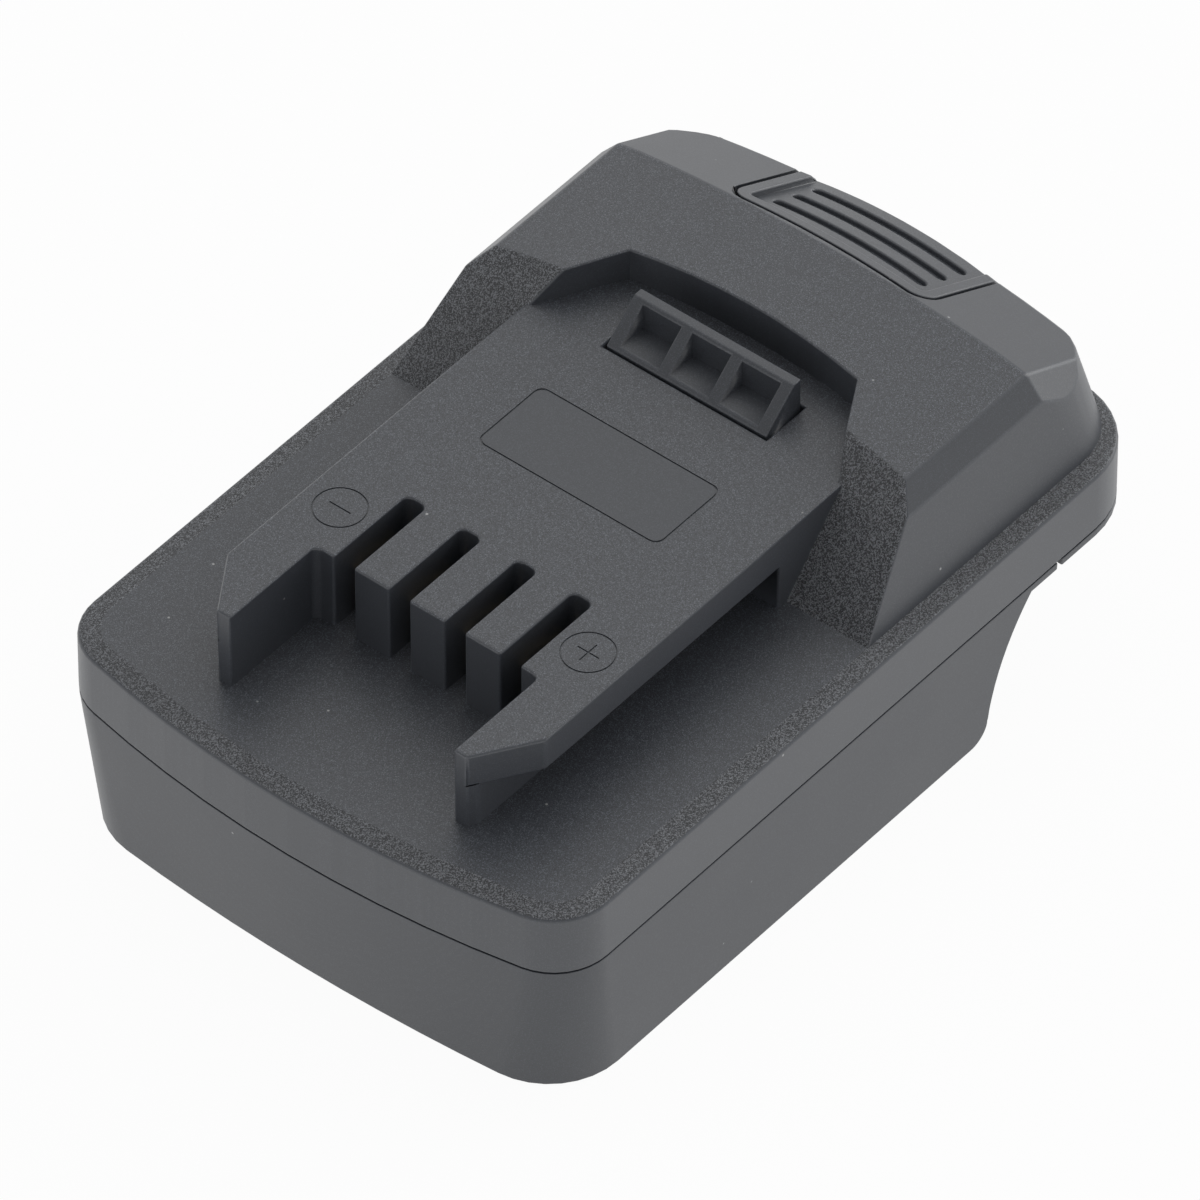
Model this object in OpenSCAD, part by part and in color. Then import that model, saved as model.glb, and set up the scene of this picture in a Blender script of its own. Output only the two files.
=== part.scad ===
// Adapter between a slide-on battery and a cordless tool.
// The tool slides over the rail on top, and the battery slides into the underside from the rear.
// Origin under the middle of the case on the surface it stands on, front wall towards -Y.

/* [Case] */
// Overall width of the case
case_w = 78; // [74:0.5:84]
// Overall length of the case
case_l = 116; // [112:0.5:124]
// Radius of the two front corners
front_corner_r = 8; // [6:0.5:10]
// Radius of the two rear corners
rear_corner_r = 11.5; // [9:0.5:13]
// Radius of the shallow bow in the front and rear walls
bow_r = 165; // [150:1:220]
// Wall thickness of both mouldings
wall = 2.2; // [1.8:0.1:2.6]
// Running clearance between a moving piece and the case
slide_gap = 0.5; // [0.4:0.05:0.7]
// Assembly clearance between fixed pieces
fit_gap = 0.1; // [0.05:0.05:0.15]

/* [Lower shell] */
// Height of the lower shell up to the parting line
shell_h = 21; // [20:0.2:26]
// How far the side walls draw in at the bottom
side_taper = 1; // [0.6:0.1:2.4]
// How far the middle of the front wall draws in at the bottom
end_taper = 2.5; // [2:0.1:4.2]
// Radius of the bow in the front wall at the bottom
foot_bow_r = 300; // [200:5:400]
// Radius of the two front corners at the bottom
foot_corner_r = 10.5; // [8:0.5:12]
// Thickness of the ceiling over the battery socket
ceiling_t = 2.2; // [1.8:0.1:3]
// Thickness of the rim that shows round the rear
rim_t = 1.3; // [1:0.05:1.6]
// Width of the thin rim round the rear
rim_w = 4; // [3:0.5:6]
// Height of the shadow gap at the parting line
reveal_h = 0.2; // [0.15:0.05:0.6]
// Depth of the shadow gap at the parting line
reveal_d = 0.6; // [0.4:0.1:1]
// Distance from the rear of the case to the rear end of the side walls
side_end = 32.9; // [30:0.1:35]
// Radius of the hollow sweep at the rear end of the side walls
sweep_r = 29; // [26:1:36]
// Height above the floor at which the sweep begins
sweep_z = 1; // [0.4:0.2:3]
// Radius of the bottom rear corners of the side walls
foot_r = 3; // [2:0.5:4]
// Width of the notch in the rim at the end of each side wall
notch_w = 0.8; // [0.6:0.1:1.2]
// Distance from the rear of the case to that notch
notch_back = 20.4; // [18:0.5:24]
// Width of the battery guide on each side wall
guide_w = 5.5; // [4:0.5:6]
// Thickness of the battery guides
guide_t = 3.6; // [3:0.2:5]
// Height of the top of the battery guides above the floor
guide_z = 9; // [7:0.5:11]
// Width of the window that takes the hook of the battery
hook_w = 16; // [12:1:20]
// Length of that window
hook_l = 6; // [5:0.5:8]
// Distance from the rear of the case to that window
hook_back = 14; // [12:0.5:16]

/* [Top cover] */
// Height of the skirt above the parting line
skirt_h = 8.6; // [7.8:0.2:10]
// Width of the sloping band round the deck
band_w = 2.8; // [2:0.1:3.6]
// Drop of that band at the outer edge
band_drop = 0.4; // [0.2:0.1:0.8]

/* [Tool rail] */
// Height of the rail's top above the deck
rail_h = 11.4; // [10.4:0.1:12]
// Width over the rail's flanges
rail_w = 48.2; // [46:0.1:50]
// Thickness of the rail's flanges
flange_t = 4.9; // [4:0.1:5.5]
// Width of the stem under the flanges
stem_w = 39.2; // [38.4:0.1:40.4]
// Thickness of the rail's top plate
rail_plate_t = 2.5; // [2:0.1:3]
// Distance from the front of the case to the prong tips
prong_setback = 10; // [8:0.5:12]
// Width of the bay between the prongs
bay_w = 33.8; // [33:0.1:34.4]
// Depth of the bay between the prongs
bay_l = 15.4; // [13:0.1:16]
// Radius of the two inner corners of that bay
bay_corner_r = 1; // [0.4:0.1:1.2]
// Width of the flat tip of each prong
tip_w = 2; // [1.5:0.1:2.4]
// Length of the slanted flank behind each prong tip
tip_l = 8; // [6:0.1:9]
// Width of a contact slot
slot_w = 3; // [2.8:0.1:3.6]
// Length of a contact slot
slot_l = 13.3; // [12.5:0.1:14.5]
// Radius of the corners at the closed end of a contact slot
slot_corner_r = 1; // [0.6:0.1:1.3]
// Distance between the middles of neighbouring contact slots
slot_pitch = 8.4; // [8.2:0.1:8.8]
// Distance from the rear of the case to the end of the undercut
undercut_back = 55.4; // [54.5:0.1:58]
// Line width of the engraved marks
mark_line = 0.2; // [0.15:0.05:0.6]
// Depth of the engraved marks
mark_depth = 0.15; // [0.1:0.05:0.4]
// Diameter of the polarity rings
mark_d = 6.8; // [6:0.1:7.4]
// Distance of the polarity rings from the middle
mark_x = 18.8; // [18.5:0.1:19.5]
// Distance of the polarity rings behind the front of the teeth
mark_back = 6.7; // [5:0.1:9]
// Length of the strokes in the polarity marks
mark_stroke = 3.2; // [2.4:0.1:4]
// Width of the outlined label field
label_w = 27.6; // [24:0.2:30]
// Length of the outlined label field
label_l = 12; // [10:0.2:14]
// Distance from the rear of the case to the label field
label_back = 53.2; // [52.5:0.1:56]
// Corner radius of the label field
label_r = 1.2; // [0.8:0.1:2]
// Line width of the outline round the label field
label_line = 0.2; // [0.15:0.05:0.4]

/* [Hump] */
// Height of the hump's middle above the deck
hump_h = 16.8; // [16.4:0.1:17.6]
// Radius of the crown across the hump
crown_r = 215; // [200:5:320]
// Width of the hump at the deck
hump_w = 72.6; // [71:0.1:73.4]
// Draw-in of the hump's side walls for each unit of height
side_draft = 0.232; // [0.2:0.002:0.25]
// Draw-in of the hump's rear wall for each unit of height
rear_draft = 0.07; // [0.04:0.01:0.1]
// Distance from the middle to the upper edge of the side chamfers
chamfer_x = 31.1; // [30.5:0.1:31.5]
// Fall of the side chamfers for each unit of width
chamfer_fall = 1.18; // [1:0.01:1.4]
// Ledge left behind the hump
rear_ledge = 1; // [0.9:0.05:1.4]
// Thickness of the skirt left behind the button
button_skirt = 0.6; // [0.5:0.05:0.8]
// Radius of the hump's rear corners at the deck
hump_corner_r = 10; // [8:0.5:11]
// Growth of that radius for each unit of height
corner_grow = 0.35; // [0.1:0.05:0.5]
// Distance from the rear of the case to the crease above the button
crease_back = 17.7; // [17:0.1:18.5]
// Angle of the rear slope
slope_a = 26.5; // [25.5:0.5:29]
// Angle of the rounded rear edge
edge_a = 55; // [50:1:60]
// Distance from the rear of the case to the rounded rear edge
edge_back = 2.9; // [2.6:0.1:4]
// Distance from the rear of the case to the foot of the wings
wing_back = 53.9; // [53:0.1:54.6]
// Run of the wing slopes for each unit of height
wing_run = 0.9; // [0.8:0.01:1]
// Distance from the rear of the case to the corners of the recess behind the catch
recess_back = 32.5; // [31.5:0.1:33]
// Width of the recess between those corners
recess_w = 34.5; // [33:0.1:36]
// Bow of the wall behind the catch
recess_bow = 1.3; // [0.8:0.1:2]
// Distance from the rear of the case to the front end of the recess walls
recess_front = 44.6; // [43.5:0.1:46]

/* [Latch] */
// Travel of the catch when the button is pressed
latch_travel = 4.8; // [4:0.1:5.2]
// Height of the catch above the rail
catch_h = 4.6; // [4:0.1:5]
// Width of the catch
catch_w = 24.3; // [22:0.1:26]
// Length of the catch at the rail
catch_l = 6.5; // [6:0.1:7]
// Length of the flat strip on top of the catch
catch_top = 1.3; // [1:0.1:1.8]
// Clearance between the catch and its opening in the rail
catch_gap = 0.3; // [0.3:0.05:0.5]
// Gap between the catch and the recess corners
catch_back = 4.1; // [3.6:0.1:5]
// Number of windows in the catch
window_count = 3; // [2:1:4]
// Thickness of the ribs between the windows
window_rib = 1.7; // [1.2:0.1:2.2]
// Thickness of the slider plate
plate_t = 3; // [2.5:0.1:3.5]
// Width of the slider plate
plate_w = 27; // [26:0.5:29]
// Width of the tongue that carries the button
tongue_w = 22; // [21:0.5:23]
// Width of the button
button_w = 29.8; // [29:0.1:31]
// Wall thickness of the button
button_wall = 2; // [1.6:0.1:2.4]
// Radius of the two front corners of the button
button_corner_r = 2.4; // [2.3:0.1:3.5]
// Radius of the bow in the rear edge of the button
button_bow_r = 88; // [70:1:120]
// Width of the strip of slope left in front of the button's gap
button_lead = 0.3; // [0.2:0.1:0.8]
// Width of the raised rim on the button
button_rim = 1.7; // [1.2:0.1:2.2]
// Depth of the dish in the button at its sides
dish_d = 1.5; // [1.3:0.1:1.8]
// Radius of the crown across the floor of the dish
dish_crown_r = 100; // [90:5:160]
// Number of grooves in the button
groove_count = 3; // [2:1:4]
// Width of a groove in the button
groove_w = 1.6; // [1.2:0.1:2]
// Length of a groove in the button
groove_l = 23; // [18:0.2:24]
// Depth of a groove below the floor of the dish
groove_d = 0.6; // [0.4:0.1:0.9]
// Distance along the slope from the crease to the first groove
groove_first = 6.4; // [5.5:0.1:7]
// Distance along the slope between neighbouring grooves
groove_pitch = 4.2; // [3.6:0.1:4.5]
// Radius of the guide posts
post_r = 2.2; // [1.8:0.1:2.6]
// Distance of each guide post from the middle
post_x = 8.6; // [7.5:0.1:9]
// Distance from the rear of the case to the guide posts
post_back = 25.5; // [24:0.5:27]
// Radial clearance of the guide posts in the slider
post_gap = 0.08; // [0.05:0.01:0.1]
// Diameter of the spring wire
spring_wire = 0.9; // [0.7:0.05:1]
// Coil diameter at the middle of the spring wire
spring_d = 6.6; // [6.4:0.1:7]
// Number of turns of a latch spring
spring_turns = 6; // [5:0.5:7]

/* [Contacts] */
// Sheet thickness of the fork clips
fork_t = 0.5; // [0.4:0.05:0.6]
// Height of the fork clips above the deck
fork_h = 6; // [5:0.5:8]
// Length of the fork clips
fork_l = 7; // [6:0.5:8]
// Gap between the tips of a fork clip
fork_gap = 0.7; // [0.5:0.05:0.9]
// Width of the solder tail of a fork clip
tail_w = 2; // [1.5:0.1:2.4]
// Thickness of the circuit board
board_t = 1.2; // [1:0.1:1.6]
// Width of the circuit board
board_w = 32; // [30:0.5:34]
// Length of the circuit board
board_l = 37; // [34:0.5:40]
// Height of the circuit board above the socket ceiling
board_lift = 2.8; // [2.4:0.1:3]
// Length of the board left free in front of the contact carrier
board_strip = 5; // [4:0.5:6]
// Length of the contact carrier
carrier_l = 16; // [15:0.5:17]

/* [Battery terminals] */
// Width of the terminal block
block_w = 40; // [36:1:42]
// Length of the terminal block
block_l = 10; // [9:0.5:12]
// Height of the terminal block
block_h = 11; // [9:0.5:12]
// Gap between the front wall of the case and the terminal block
block_setback = 8; // [7:0.5:10]
// Sheet thickness of the blades
blade_t = 0.8; // [0.6:0.1:1]
// Height of the blades
blade_h = 6; // [5:0.5:7]
// Free length of the blades
blade_l = 12; // [10:0.5:14]
// Distance of the power blades from the middle
blade_x = 14; // [12:0.5:15]
// Length of a blade's solder tab
tab_l = 3; // [2.5:0.1:3.5]
// Height of a blade's solder tab above the socket ceiling
tab_h = 3; // [2.5:0.1:3.5]
// Radius of the leads
wire_r = 0.8; // [0.6:0.05:0.9]

/* [Fasteners] */
// Radius of a case screw's shank
screw_r = 1.45; // [1.2:0.05:1.6]
// Radius of a case screw's head
screw_head_r = 2.8; // [2.4:0.1:3]
// Height of a case screw's head
screw_head_h = 1.8; // [1.4:0.1:2.2]
// Wall of the bosses round the case screws
boss_wall = 1.7; // [1.4:0.1:2]
// Distance of the case screws from the middle
screw_x = 25.6; // [25:0.1:26]
// Distance of the front case screws from the front of the case
screw_front = 13; // [12:0.5:15]
// Distance of the rear case screws from the rear of the case
screw_rear = 15; // [13:0.5:17]
// Recess of a case screw's head below the socket ceiling
screw_sink = 0.2; // [0.1:0.1:0.4]
// Depth of engagement of the case screws
screw_bite = 5; // [4:0.5:5.5]
// Radius of a small screw's shank
small_r = 1; // [0.8:0.05:1.2]
// Radius of a small screw's head
small_head_r = 1.9; // [1.7:0.1:2.1]
// Height of a small screw's head
small_head_h = 1.2; // [1:0.1:1.4]
// Width of the cross recess in the screw heads
cross_w = 0.6; // [0.4:0.1:0.8]
// Clearance round a screw's shank
screw_gap = 0.05; // [0.03:0.01:0.1]

/* [Hidden] */

// Smoothness of true round faces
$fn = 48;
// Points on each rounded corner and on each bow of the case outline
corner_n = 8;
bow_n = 10;
// Overlap used where one shape runs into another
eps = 0.02;
// Length that reaches past the whole case
far = 200;

front_y = -case_l / 2;
rear_y = case_l / 2;
deck_z = shell_h + skirt_h + band_drop;
deck_under_z = deck_z - wall;
ceiling_z = shell_h - ceiling_t;
rail_z = deck_z + rail_h;
rail_under_z = rail_z - rail_plate_t;
flange_z = rail_z - flange_t;
hump_z = deck_z + hump_h;

tip_y = front_y + prong_setback;
tooth_y = tip_y + bay_l;
slot_end_y = tooth_y + slot_l;
wing_y = rear_y - wing_back;
crease_y = rear_y - crease_back;
recess_y = rear_y - recess_back;

catch_rear_y = recess_y - catch_back;
catch_front_y = catch_rear_y - catch_l;
plate_z = rail_under_z - slide_gap;
plate_rear_y = rear_y - 8;
post_y = rear_y - post_back;
button_front_y = crease_y + button_lead + slide_gap;

carrier_y = tooth_y - 1;
board_z = shell_h + board_lift;
board_top_z = board_z + board_t;
board_y = carrier_y - board_strip;
fork_y = slot_end_y - slot_w / 2 - fork_t;
block_y = front_y + block_setback;
blade_z = ceiling_z - block_h + 2.5;
tab_y = block_y + block_l / 2 - tab_l / 2;
screw_seat_z = ceiling_z + screw_head_h + screw_sink;
screw_pad_z = screw_seat_z + ceiling_t;

// Colours of the plastics, metals and the board
charcoal = [0.20, 0.20, 0.22];
dark_charcoal = [0.16, 0.16, 0.18];
steel = [0.70, 0.71, 0.73];
brass = [0.82, 0.68, 0.36];
nylon = [0.10, 0.10, 0.11];

// Points along an arc from angle a0 to a1
function arc(cx, cy, r, a0, a1, n) =
    [for (i = [0 : n]) let (a = a0 + (a1 - a0) * i / n) [cx + r * cos(a), cy + r * sin(a)]];

// The same arc without its two end points
function inner_arc(cx, cy, r, a0, a1, n) =
    [for (i = [1 : n - 1]) let (a = a0 + (a1 - a0) * i / n) [cx + r * cos(a), cy + r * sin(a)]];

// Case outline with straight sides, bowed ends and round corners, all tangent to each other
function outline(half_w, y0, y1, r0, r1, bow = bow_r) =
    let (
        c0 = y0 + bow,
        c1 = y1 - bow,
        x0 = half_w - r0,
        x1 = half_w - r1,
        k0 = c0 - sqrt(pow(bow - r0, 2) - x0 * x0),
        k1 = c1 + sqrt(pow(bow - r1, 2) - x1 * x1),
        a0 = asin(x0 / (bow - r0)),
        a1 = asin(x1 / (bow - r1))
    )
    concat(
        arc(x0, k0, r0, a0 - 90, 0, corner_n),
        arc(x1, k1, r1, 0, 90 - a1, corner_n),
        inner_arc(0, c1, bow, 90 - a1, 90 + a1, bow_n),
        arc(-x1, k1, r1, 90 + a1, 180, corner_n),
        arc(-x0, k0, r0, 180, 270 - a0, corner_n),
        inner_arc(0, c0, bow, 270 - a0, 270 + a0, bow_n)
    );

// Case outline drawn in by one distance at the sides and another at the ends
function case_outline(side_in, end_in) =
    outline(case_w / 2 - side_in, front_y + end_in, rear_y - end_in,
        front_corner_r - min(side_in, end_in), rear_corner_r - min(side_in, end_in));

// Outline of the lower shell at the floor, drawn in by t
function foot_outline(t) =
    outline(case_w / 2 - side_taper - t, front_y + end_taper + t, rear_y - t,
        foot_corner_r - t, rear_corner_r - t, foot_bow_r);

// Outline of the hump's walls at a height above the deck, drawn in by t
function hump_outline(h, t) =
    outline(hump_w / 2 - t - h * side_draft, wing_y - far / 10,
        rear_y - rear_ledge - t - h * rear_draft, front_corner_r - t, hump_corner_r + h * corner_grow - t);

// Solid between two outlines with the same number of points
module loft(low, z0, high, z1) {
    n = len(low);
    polyhedron(
        points = concat([for (p = low) [p.x, p.y, z0]], [for (p = high) [p.x, p.y, z1]]),
        faces = concat(
            [[for (i = [0 : n - 1]) i]],
            [[for (i = [0 : n - 1]) 2 * n - 1 - i]],
            [for (i = [0 : n - 1]) [i, i + n, (i + 1) % n + n]],
            [for (i = [0 : n - 1]) [i, (i + 1) % n + n, (i + 1) % n]]
        )
    );
}

// Prism of a case outline between two heights
module slab(points, z0, z1) {
    translate([0, 0, z0])
        linear_extrude(z1 - z0)
            polygon(points);
}

// Box from its lower corner to its upper corner
module block(low, high) {
    translate(low)
        cube(high - low);
}

// Shape drawn in the Y-Z plane and carried across the width w
module across(w) {
    rotate([90, 0, 90])
        translate([0, 0, -w / 2])
            linear_extrude(w)
                children();
}

// Both halves of a shape that is mirrored in the middle plane
module pair() {
    children();
    mirror([1, 0, 0])
        children();
}

// Two slanted planes that cut the side chamfers of the hump, drawn across the local origin
// squeeze shortens the heights, for the stretch that slopes down at the rear
module chamfer_roof(t, squeeze, edge_x) {
    edge_drop = crown_r - sqrt(crown_r * crown_r - edge_x * edge_x);
    fall = chamfer_fall * squeeze;
    apex = (edge_x - t / 2) * fall - edge_drop * squeeze - t;
    reach = 60;
    polygon([[-reach, apex - reach * fall], [reach, apex - reach * fall], [0, apex]]);
}

// Crowned bar with its roof of chamfers, running along the local Y axis
module crowned_bar(t, r, squeeze, edge_x) {
    intersection() {
        translate([0, far / 2, -r])
            rotate([90, 0, 0])
                cylinder(r = r - t, h = far, $fn = 360);
        translate([0, far / 2, 0])
            rotate([90, 0, 0])
                linear_extrude(far)
                    chamfer_roof(t, squeeze, edge_x);
    }
}

// Height of the rear slope in the middle, at the distance y
function slope_height(y) = hump_z - (y - crease_y) * tan(slope_a);

// Hump without its rounded rear edge, with every face drawn in by t
module hump_body(t) {
    sink = wall + 2;
    rear_edge_x = chamfer_x - 0.1;
    intersection() {
        loft(hump_outline(-sink, t), deck_z - sink, hump_outline(hump_h + 1, t), hump_z + 1);
        translate([0, 0, hump_z])
            crowned_bar(t, crown_r, 1, chamfer_x);
        translate([0, crease_y, hump_z])
            rotate([-slope_a, 0, 0])
                crowned_bar(t, crown_r / cos(slope_a), cos(slope_a), rear_edge_x);
        translate([0, wing_y + t * sqrt(1 + wing_run * wing_run), deck_z])
            rotate([-atan(wing_run), 0, 0])
                block([-far / 2, 0, -far / 2], [far / 2, far, far / 2]);
    }
}

// Cone about an upright axis at y that cuts a rounded rear edge, with radius r at the height z
module edge_cone(y, r, z) {
    reach = 3 * hump_h;
    spread = reach / tan(edge_a);
    translate([0, y, z - reach])
        cylinder(r1 = r + spread, r2 = r - spread, h = 2 * reach, $fn = 360);
}

// Full form of the hump with every face drawn in by t
module hump_form(t) {
    edge_y = rear_y - edge_back - t;
    intersection() {
        hump_body(t);
        edge_cone(rear_y - bow_r, edge_y - rear_y + bow_r, slope_height(edge_y) - t);
    }
}

// Plan of the space in front of the hump, over the catch, grown by t
module recess_plan(t) {
    half_rail = rail_w / 2;
    half_recess = recess_w / 2 + t;
    mid_r = (half_recess * half_recess + recess_bow * recess_bow) / (2 * recess_bow);
    sweep = asin(half_recess / mid_r);
    polygon(concat(
        [[half_rail, wing_y - far / 10], [half_rail, rear_y - recess_front + t]],
        arc(0, recess_y + t + recess_bow - mid_r, mid_r, 90 - sweep, 90 + sweep, 8),
        [[-half_rail, rear_y - recess_front + t], [-half_rail, wing_y - far / 10]]
    ));
}

// Plan of the rail with its two prongs, for a given width over its sides
// relief sets the slanted flanks back
module rail_plan(width, relief) {
    tip_x = bay_w / 2 + tip_w - relief;
    slant = (rail_w / 2 - bay_w / 2 - tip_w) / tip_l;
    side_y = tip_y + (width / 2 - tip_x) / slant;
    difference() {
        polygon([
            [-tip_x, tip_y], [tip_x, tip_y], [width / 2, side_y], [width / 2, recess_y + wall],
            [-width / 2, recess_y + wall], [-width / 2, side_y]
        ]);
        blind_plan(bay_w, tip_y - 1, tooth_y, bay_corner_r);
    }
}

// Plan of a straight cut of width w from y0 to a closed end with round corners at y1
module blind_plan(w, y0, y1, r) {
    x = w / 2 - r;
    polygon(concat(
        [[-w / 2, y0], [w / 2, y0]], arc(x, y1 - r, r, 0, 90, 5), arc(-x, y1 - r, r, 90, 180, 5)
    ));
}

// One contact slot, open at the front, from height z0 up
module contact_slot(z0, start_y) {
    translate([0, 0, z0])
        linear_extrude(rail_z + 1 - z0)
            blind_plan(slot_w, start_y, slot_end_y, slot_corner_r);
}

// Places its children at each contact slot
module at_slots() {
    for (i = [-1.5 : 1.5])
        translate([i * slot_pitch, 0, 0])
            children();
}

// Places its children at the four case screws
module at_case_screws() {
    pair() {
        translate([screw_x, front_y + screw_front, 0])
            children();
        translate([screw_x, rear_y - screw_rear, 0])
            children();
    }
}

// Ring in the plan of the engraved label field
module label_plan() {
    module field(grow) {
        w = label_w / 2 + grow - label_r;
        l = label_l / 2 + grow - label_r;
        polygon(concat(
            arc(w, -l, label_r, -90, 0, 4), arc(w, l, label_r, 0, 90, 4),
            arc(-w, l, label_r, 90, 180, 4), arc(-w, -l, label_r, 180, 270, 4)
        ));
    }
    difference() {
        field(0);
        field(-label_line);
    }
}

// Polarity ring with one stroke, or two crossed strokes
module polarity_plan(strokes) {
    difference() {
        circle(d = mark_d);
        circle(d = mark_d - 2 * mark_line);
    }
    for (i = [0 : strokes - 1])
        rotate(i * 90)
            square([mark_stroke, mark_line], center = true);
}

// All engraved marks on the rail's top
module engravings() {
    mark_y = tooth_y + mark_back;
    translate([0, 0, rail_z - mark_depth])
        linear_extrude(mark_depth + 1) {
            translate([0, rear_y - label_back - label_l / 2])
                label_plan();
            translate([-mark_x, mark_y])
                polarity_plan(1);
            translate([mark_x, mark_y])
                polarity_plan(2);
        }
}

// Prism with two round front corners and a bowed front, drawn in by t from the outline of the button
module button_prism(t) {
    x = button_w / 2 - button_corner_r;
    y = button_front_y + button_corner_r;
    r = button_corner_r - t;
    half_bow = asin(x / bow_r);
    linear_extrude(far)
        polygon(concat(
            arc(x, y, r, -90, 0, 6), [[x + r, rear_y + 1], [-x - r, rear_y + 1]], arc(-x, y, r, 180, 270, 6),
            inner_arc(0, y - r - bow_r * cos(half_bow), bow_r, 90 + half_bow, 90 - half_bow, 6)
        ));
}

// Notch in the hump in which the button slides, grown by gap on every side
module button_room(gap) {
    rear_in = button_skirt + slide_gap - gap;
    intersection() {
        translate([0, rear_y - bow_r, 0])
            cylinder(r = bow_r - rear_in, h = far, $fn = 360);
        button_prism(-gap);
    }
}

// Outside of the button, with a rear edge that bows out from the ends of the hump's own edge
module button_form() {
    half = button_w / 2;
    hump_r = bow_r - edge_back;
    end_y = rear_y - bow_r + sqrt(hump_r * hump_r - half * half);
    intersection() {
        hump_body(0);
        button_room(0);
        edge_cone(end_y - sqrt(button_bow_r * button_bow_r - half * half), button_bow_r,
            slope_height(rear_y - edge_back));
    }
}

module cover_body() {
    button_floor = deck_z - wall - latch_travel - slide_gap;
    difference() {
        union() {
            slab(case_outline(0, 0), shell_h, shell_h + skirt_h);
            loft(case_outline(0, 0), shell_h + skirt_h, case_outline(band_w, band_w), deck_z);
            translate([0, 0, deck_z - 1])
                linear_extrude(rail_h - flange_t + 2)
                    rail_plan(stem_w, 0.06);
            translate([0, 0, flange_z])
                linear_extrude(flange_t)
                    rail_plan(rail_w, 0);
            pair()
                block([stem_w / 2 - 1, rear_y - undercut_back, deck_z - eps],
                    [rail_w / 2, recess_y, flange_z + eps]);
            difference() {
                hump_form(0);
                translate([0, 0, rail_z])
                    linear_extrude(far)
                        recess_plan(0);
            }
        }
        slab(case_outline(wall, wall), shell_h - 1, deck_under_z);
        block([-stem_w / 2 + wall, slot_end_y + wall, deck_under_z - eps],
            [stem_w / 2 - wall, recess_y + wall, rail_under_z]);
        difference() {
            hump_form(wall);
            translate([0, 0, rail_under_z])
                linear_extrude(far)
                    recess_plan(wall);
        }
        intersection() {
            button_room(slide_gap);
            block([-far, 0, button_floor], [far, far, far]);
        }
        at_slots() {
            contact_slot(deck_z, tooth_y - 1);
            contact_slot(deck_under_z - eps, fork_y - fork_l - 0.5);
        }
        block([-catch_w / 2 - catch_gap, catch_front_y - catch_gap, rail_under_z - 1],
            [catch_w / 2 + catch_gap, catch_rear_y + catch_gap, rail_z + 1]);
        engravings();
    }
}

// Upper moulding with deck, rail, wings and hump
module top_cover() {
    boss_r = screw_r + boss_wall;
    color(charcoal)
        difference() {
            union() {
                cover_body();
                pair() {
                    translate([screw_x, front_y + screw_front, screw_pad_z])
                        cylinder(r = boss_r, h = deck_under_z - screw_pad_z + eps);
                    intersection() {
                        translate([screw_x, rear_y - screw_rear, screw_pad_z])
                            cylinder(r = boss_r, h = hump_h + skirt_h);
                        union() {
                            hump_form(wall / 2);
                            block([0, 0, 0], [far, far, deck_z]);
                        }
                    }
                }
            }
            at_case_screws()
                translate([0, 0, screw_pad_z - 1])
                    cylinder(r = screw_r + screw_gap, h = screw_bite + 1.5);
        }
}

// Space behind the hollow sweep, under height top
module sweep_cut(top) {
    end_y = rear_y - side_end;
    across(far)
        intersection() {
            union() {
                translate([end_y + sweep_r, sweep_z])
                    circle(r = sweep_r, $fn = 96);
                translate([end_y, -1])
                    square([far, sweep_z + 1]);
                translate([end_y + sweep_r, -1])
                    square([far, far]);
            }
            translate([-far, -far])
                square([2 * far, far + top]);
        }
}

// Corner left outside the round at the rear foot of the side walls
module foot_round() {
    end_y = rear_y - side_end;
    across(far)
        difference() {
            translate([end_y - foot_r, -1])
                square([foot_r + 1, foot_r + 1]);
            translate([end_y - foot_r, foot_r])
                circle(r = foot_r);
        }
}

// Lower moulding with the battery socket
module bottom_shell() {
    inner_half = case_w / 2 - side_taper - wall;
    guide_front = block_y + block_l;
    guide_slope = side_taper / shell_h;
    color(charcoal)
        difference() {
            union() {
                difference() {
                    loft(foot_outline(0), 0, case_outline(0, 0), shell_h - reveal_h);
                    loft(foot_outline(wall), 0, case_outline(guide_slope + wall, wall), ceiling_z);
                    slab(foot_outline(wall), -1, 0);
                    difference() {
                        sweep_cut(shell_h - rim_t);
                        slab(case_outline(rim_w, rim_w), ceiling_z, shell_h);
                    }
                    foot_round();
                }
                slab(case_outline(reveal_d, reveal_d), shell_h - reveal_h - eps, shell_h);
                difference() {
                    pair()
                        block([inner_half - guide_w + wall, guide_front, guide_z - guide_t],
                            [inner_half + wall, rear_y - side_end + 2, guide_z]);
                    sweep_cut(ceiling_z);
                }
                shell_posts();
            }
            at_case_screws() {
                translate([0, 0, ceiling_z - 1])
                    cylinder(r = screw_r + screw_gap, h = far);
                translate([0, 0, ceiling_z - 1])
                    cylinder(r = screw_head_r + fit_gap, h = screw_seat_z - ceiling_z + 1);
            }
            pair()
                block([case_w / 2 - rim_w, rear_y - notch_back - notch_w, ceiling_z],
                    [case_w, rear_y - notch_back, shell_h + 1]);
            block([-hook_w / 2, rear_y - hook_back - hook_l, ceiling_z - 1],
                [hook_w / 2, rear_y - hook_back, shell_h + 1]);
            at_blades()
                block([-blade_t / 2 - fit_gap, tab_y - fit_gap, ceiling_z - 1],
                    [blade_t / 2 + fit_gap, tab_y + tab_l + fit_gap, shell_h + 1]);
            at_board_screws()
                translate([0, 0, shell_h])
                    cylinder(r = small_r + screw_gap, h = board_lift + 1);
            at_block_screws()
                translate([0, 0, ceiling_z - 1])
                    cylinder(r = small_r + screw_gap, h = ceiling_t + tab_h);
        }
}

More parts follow.
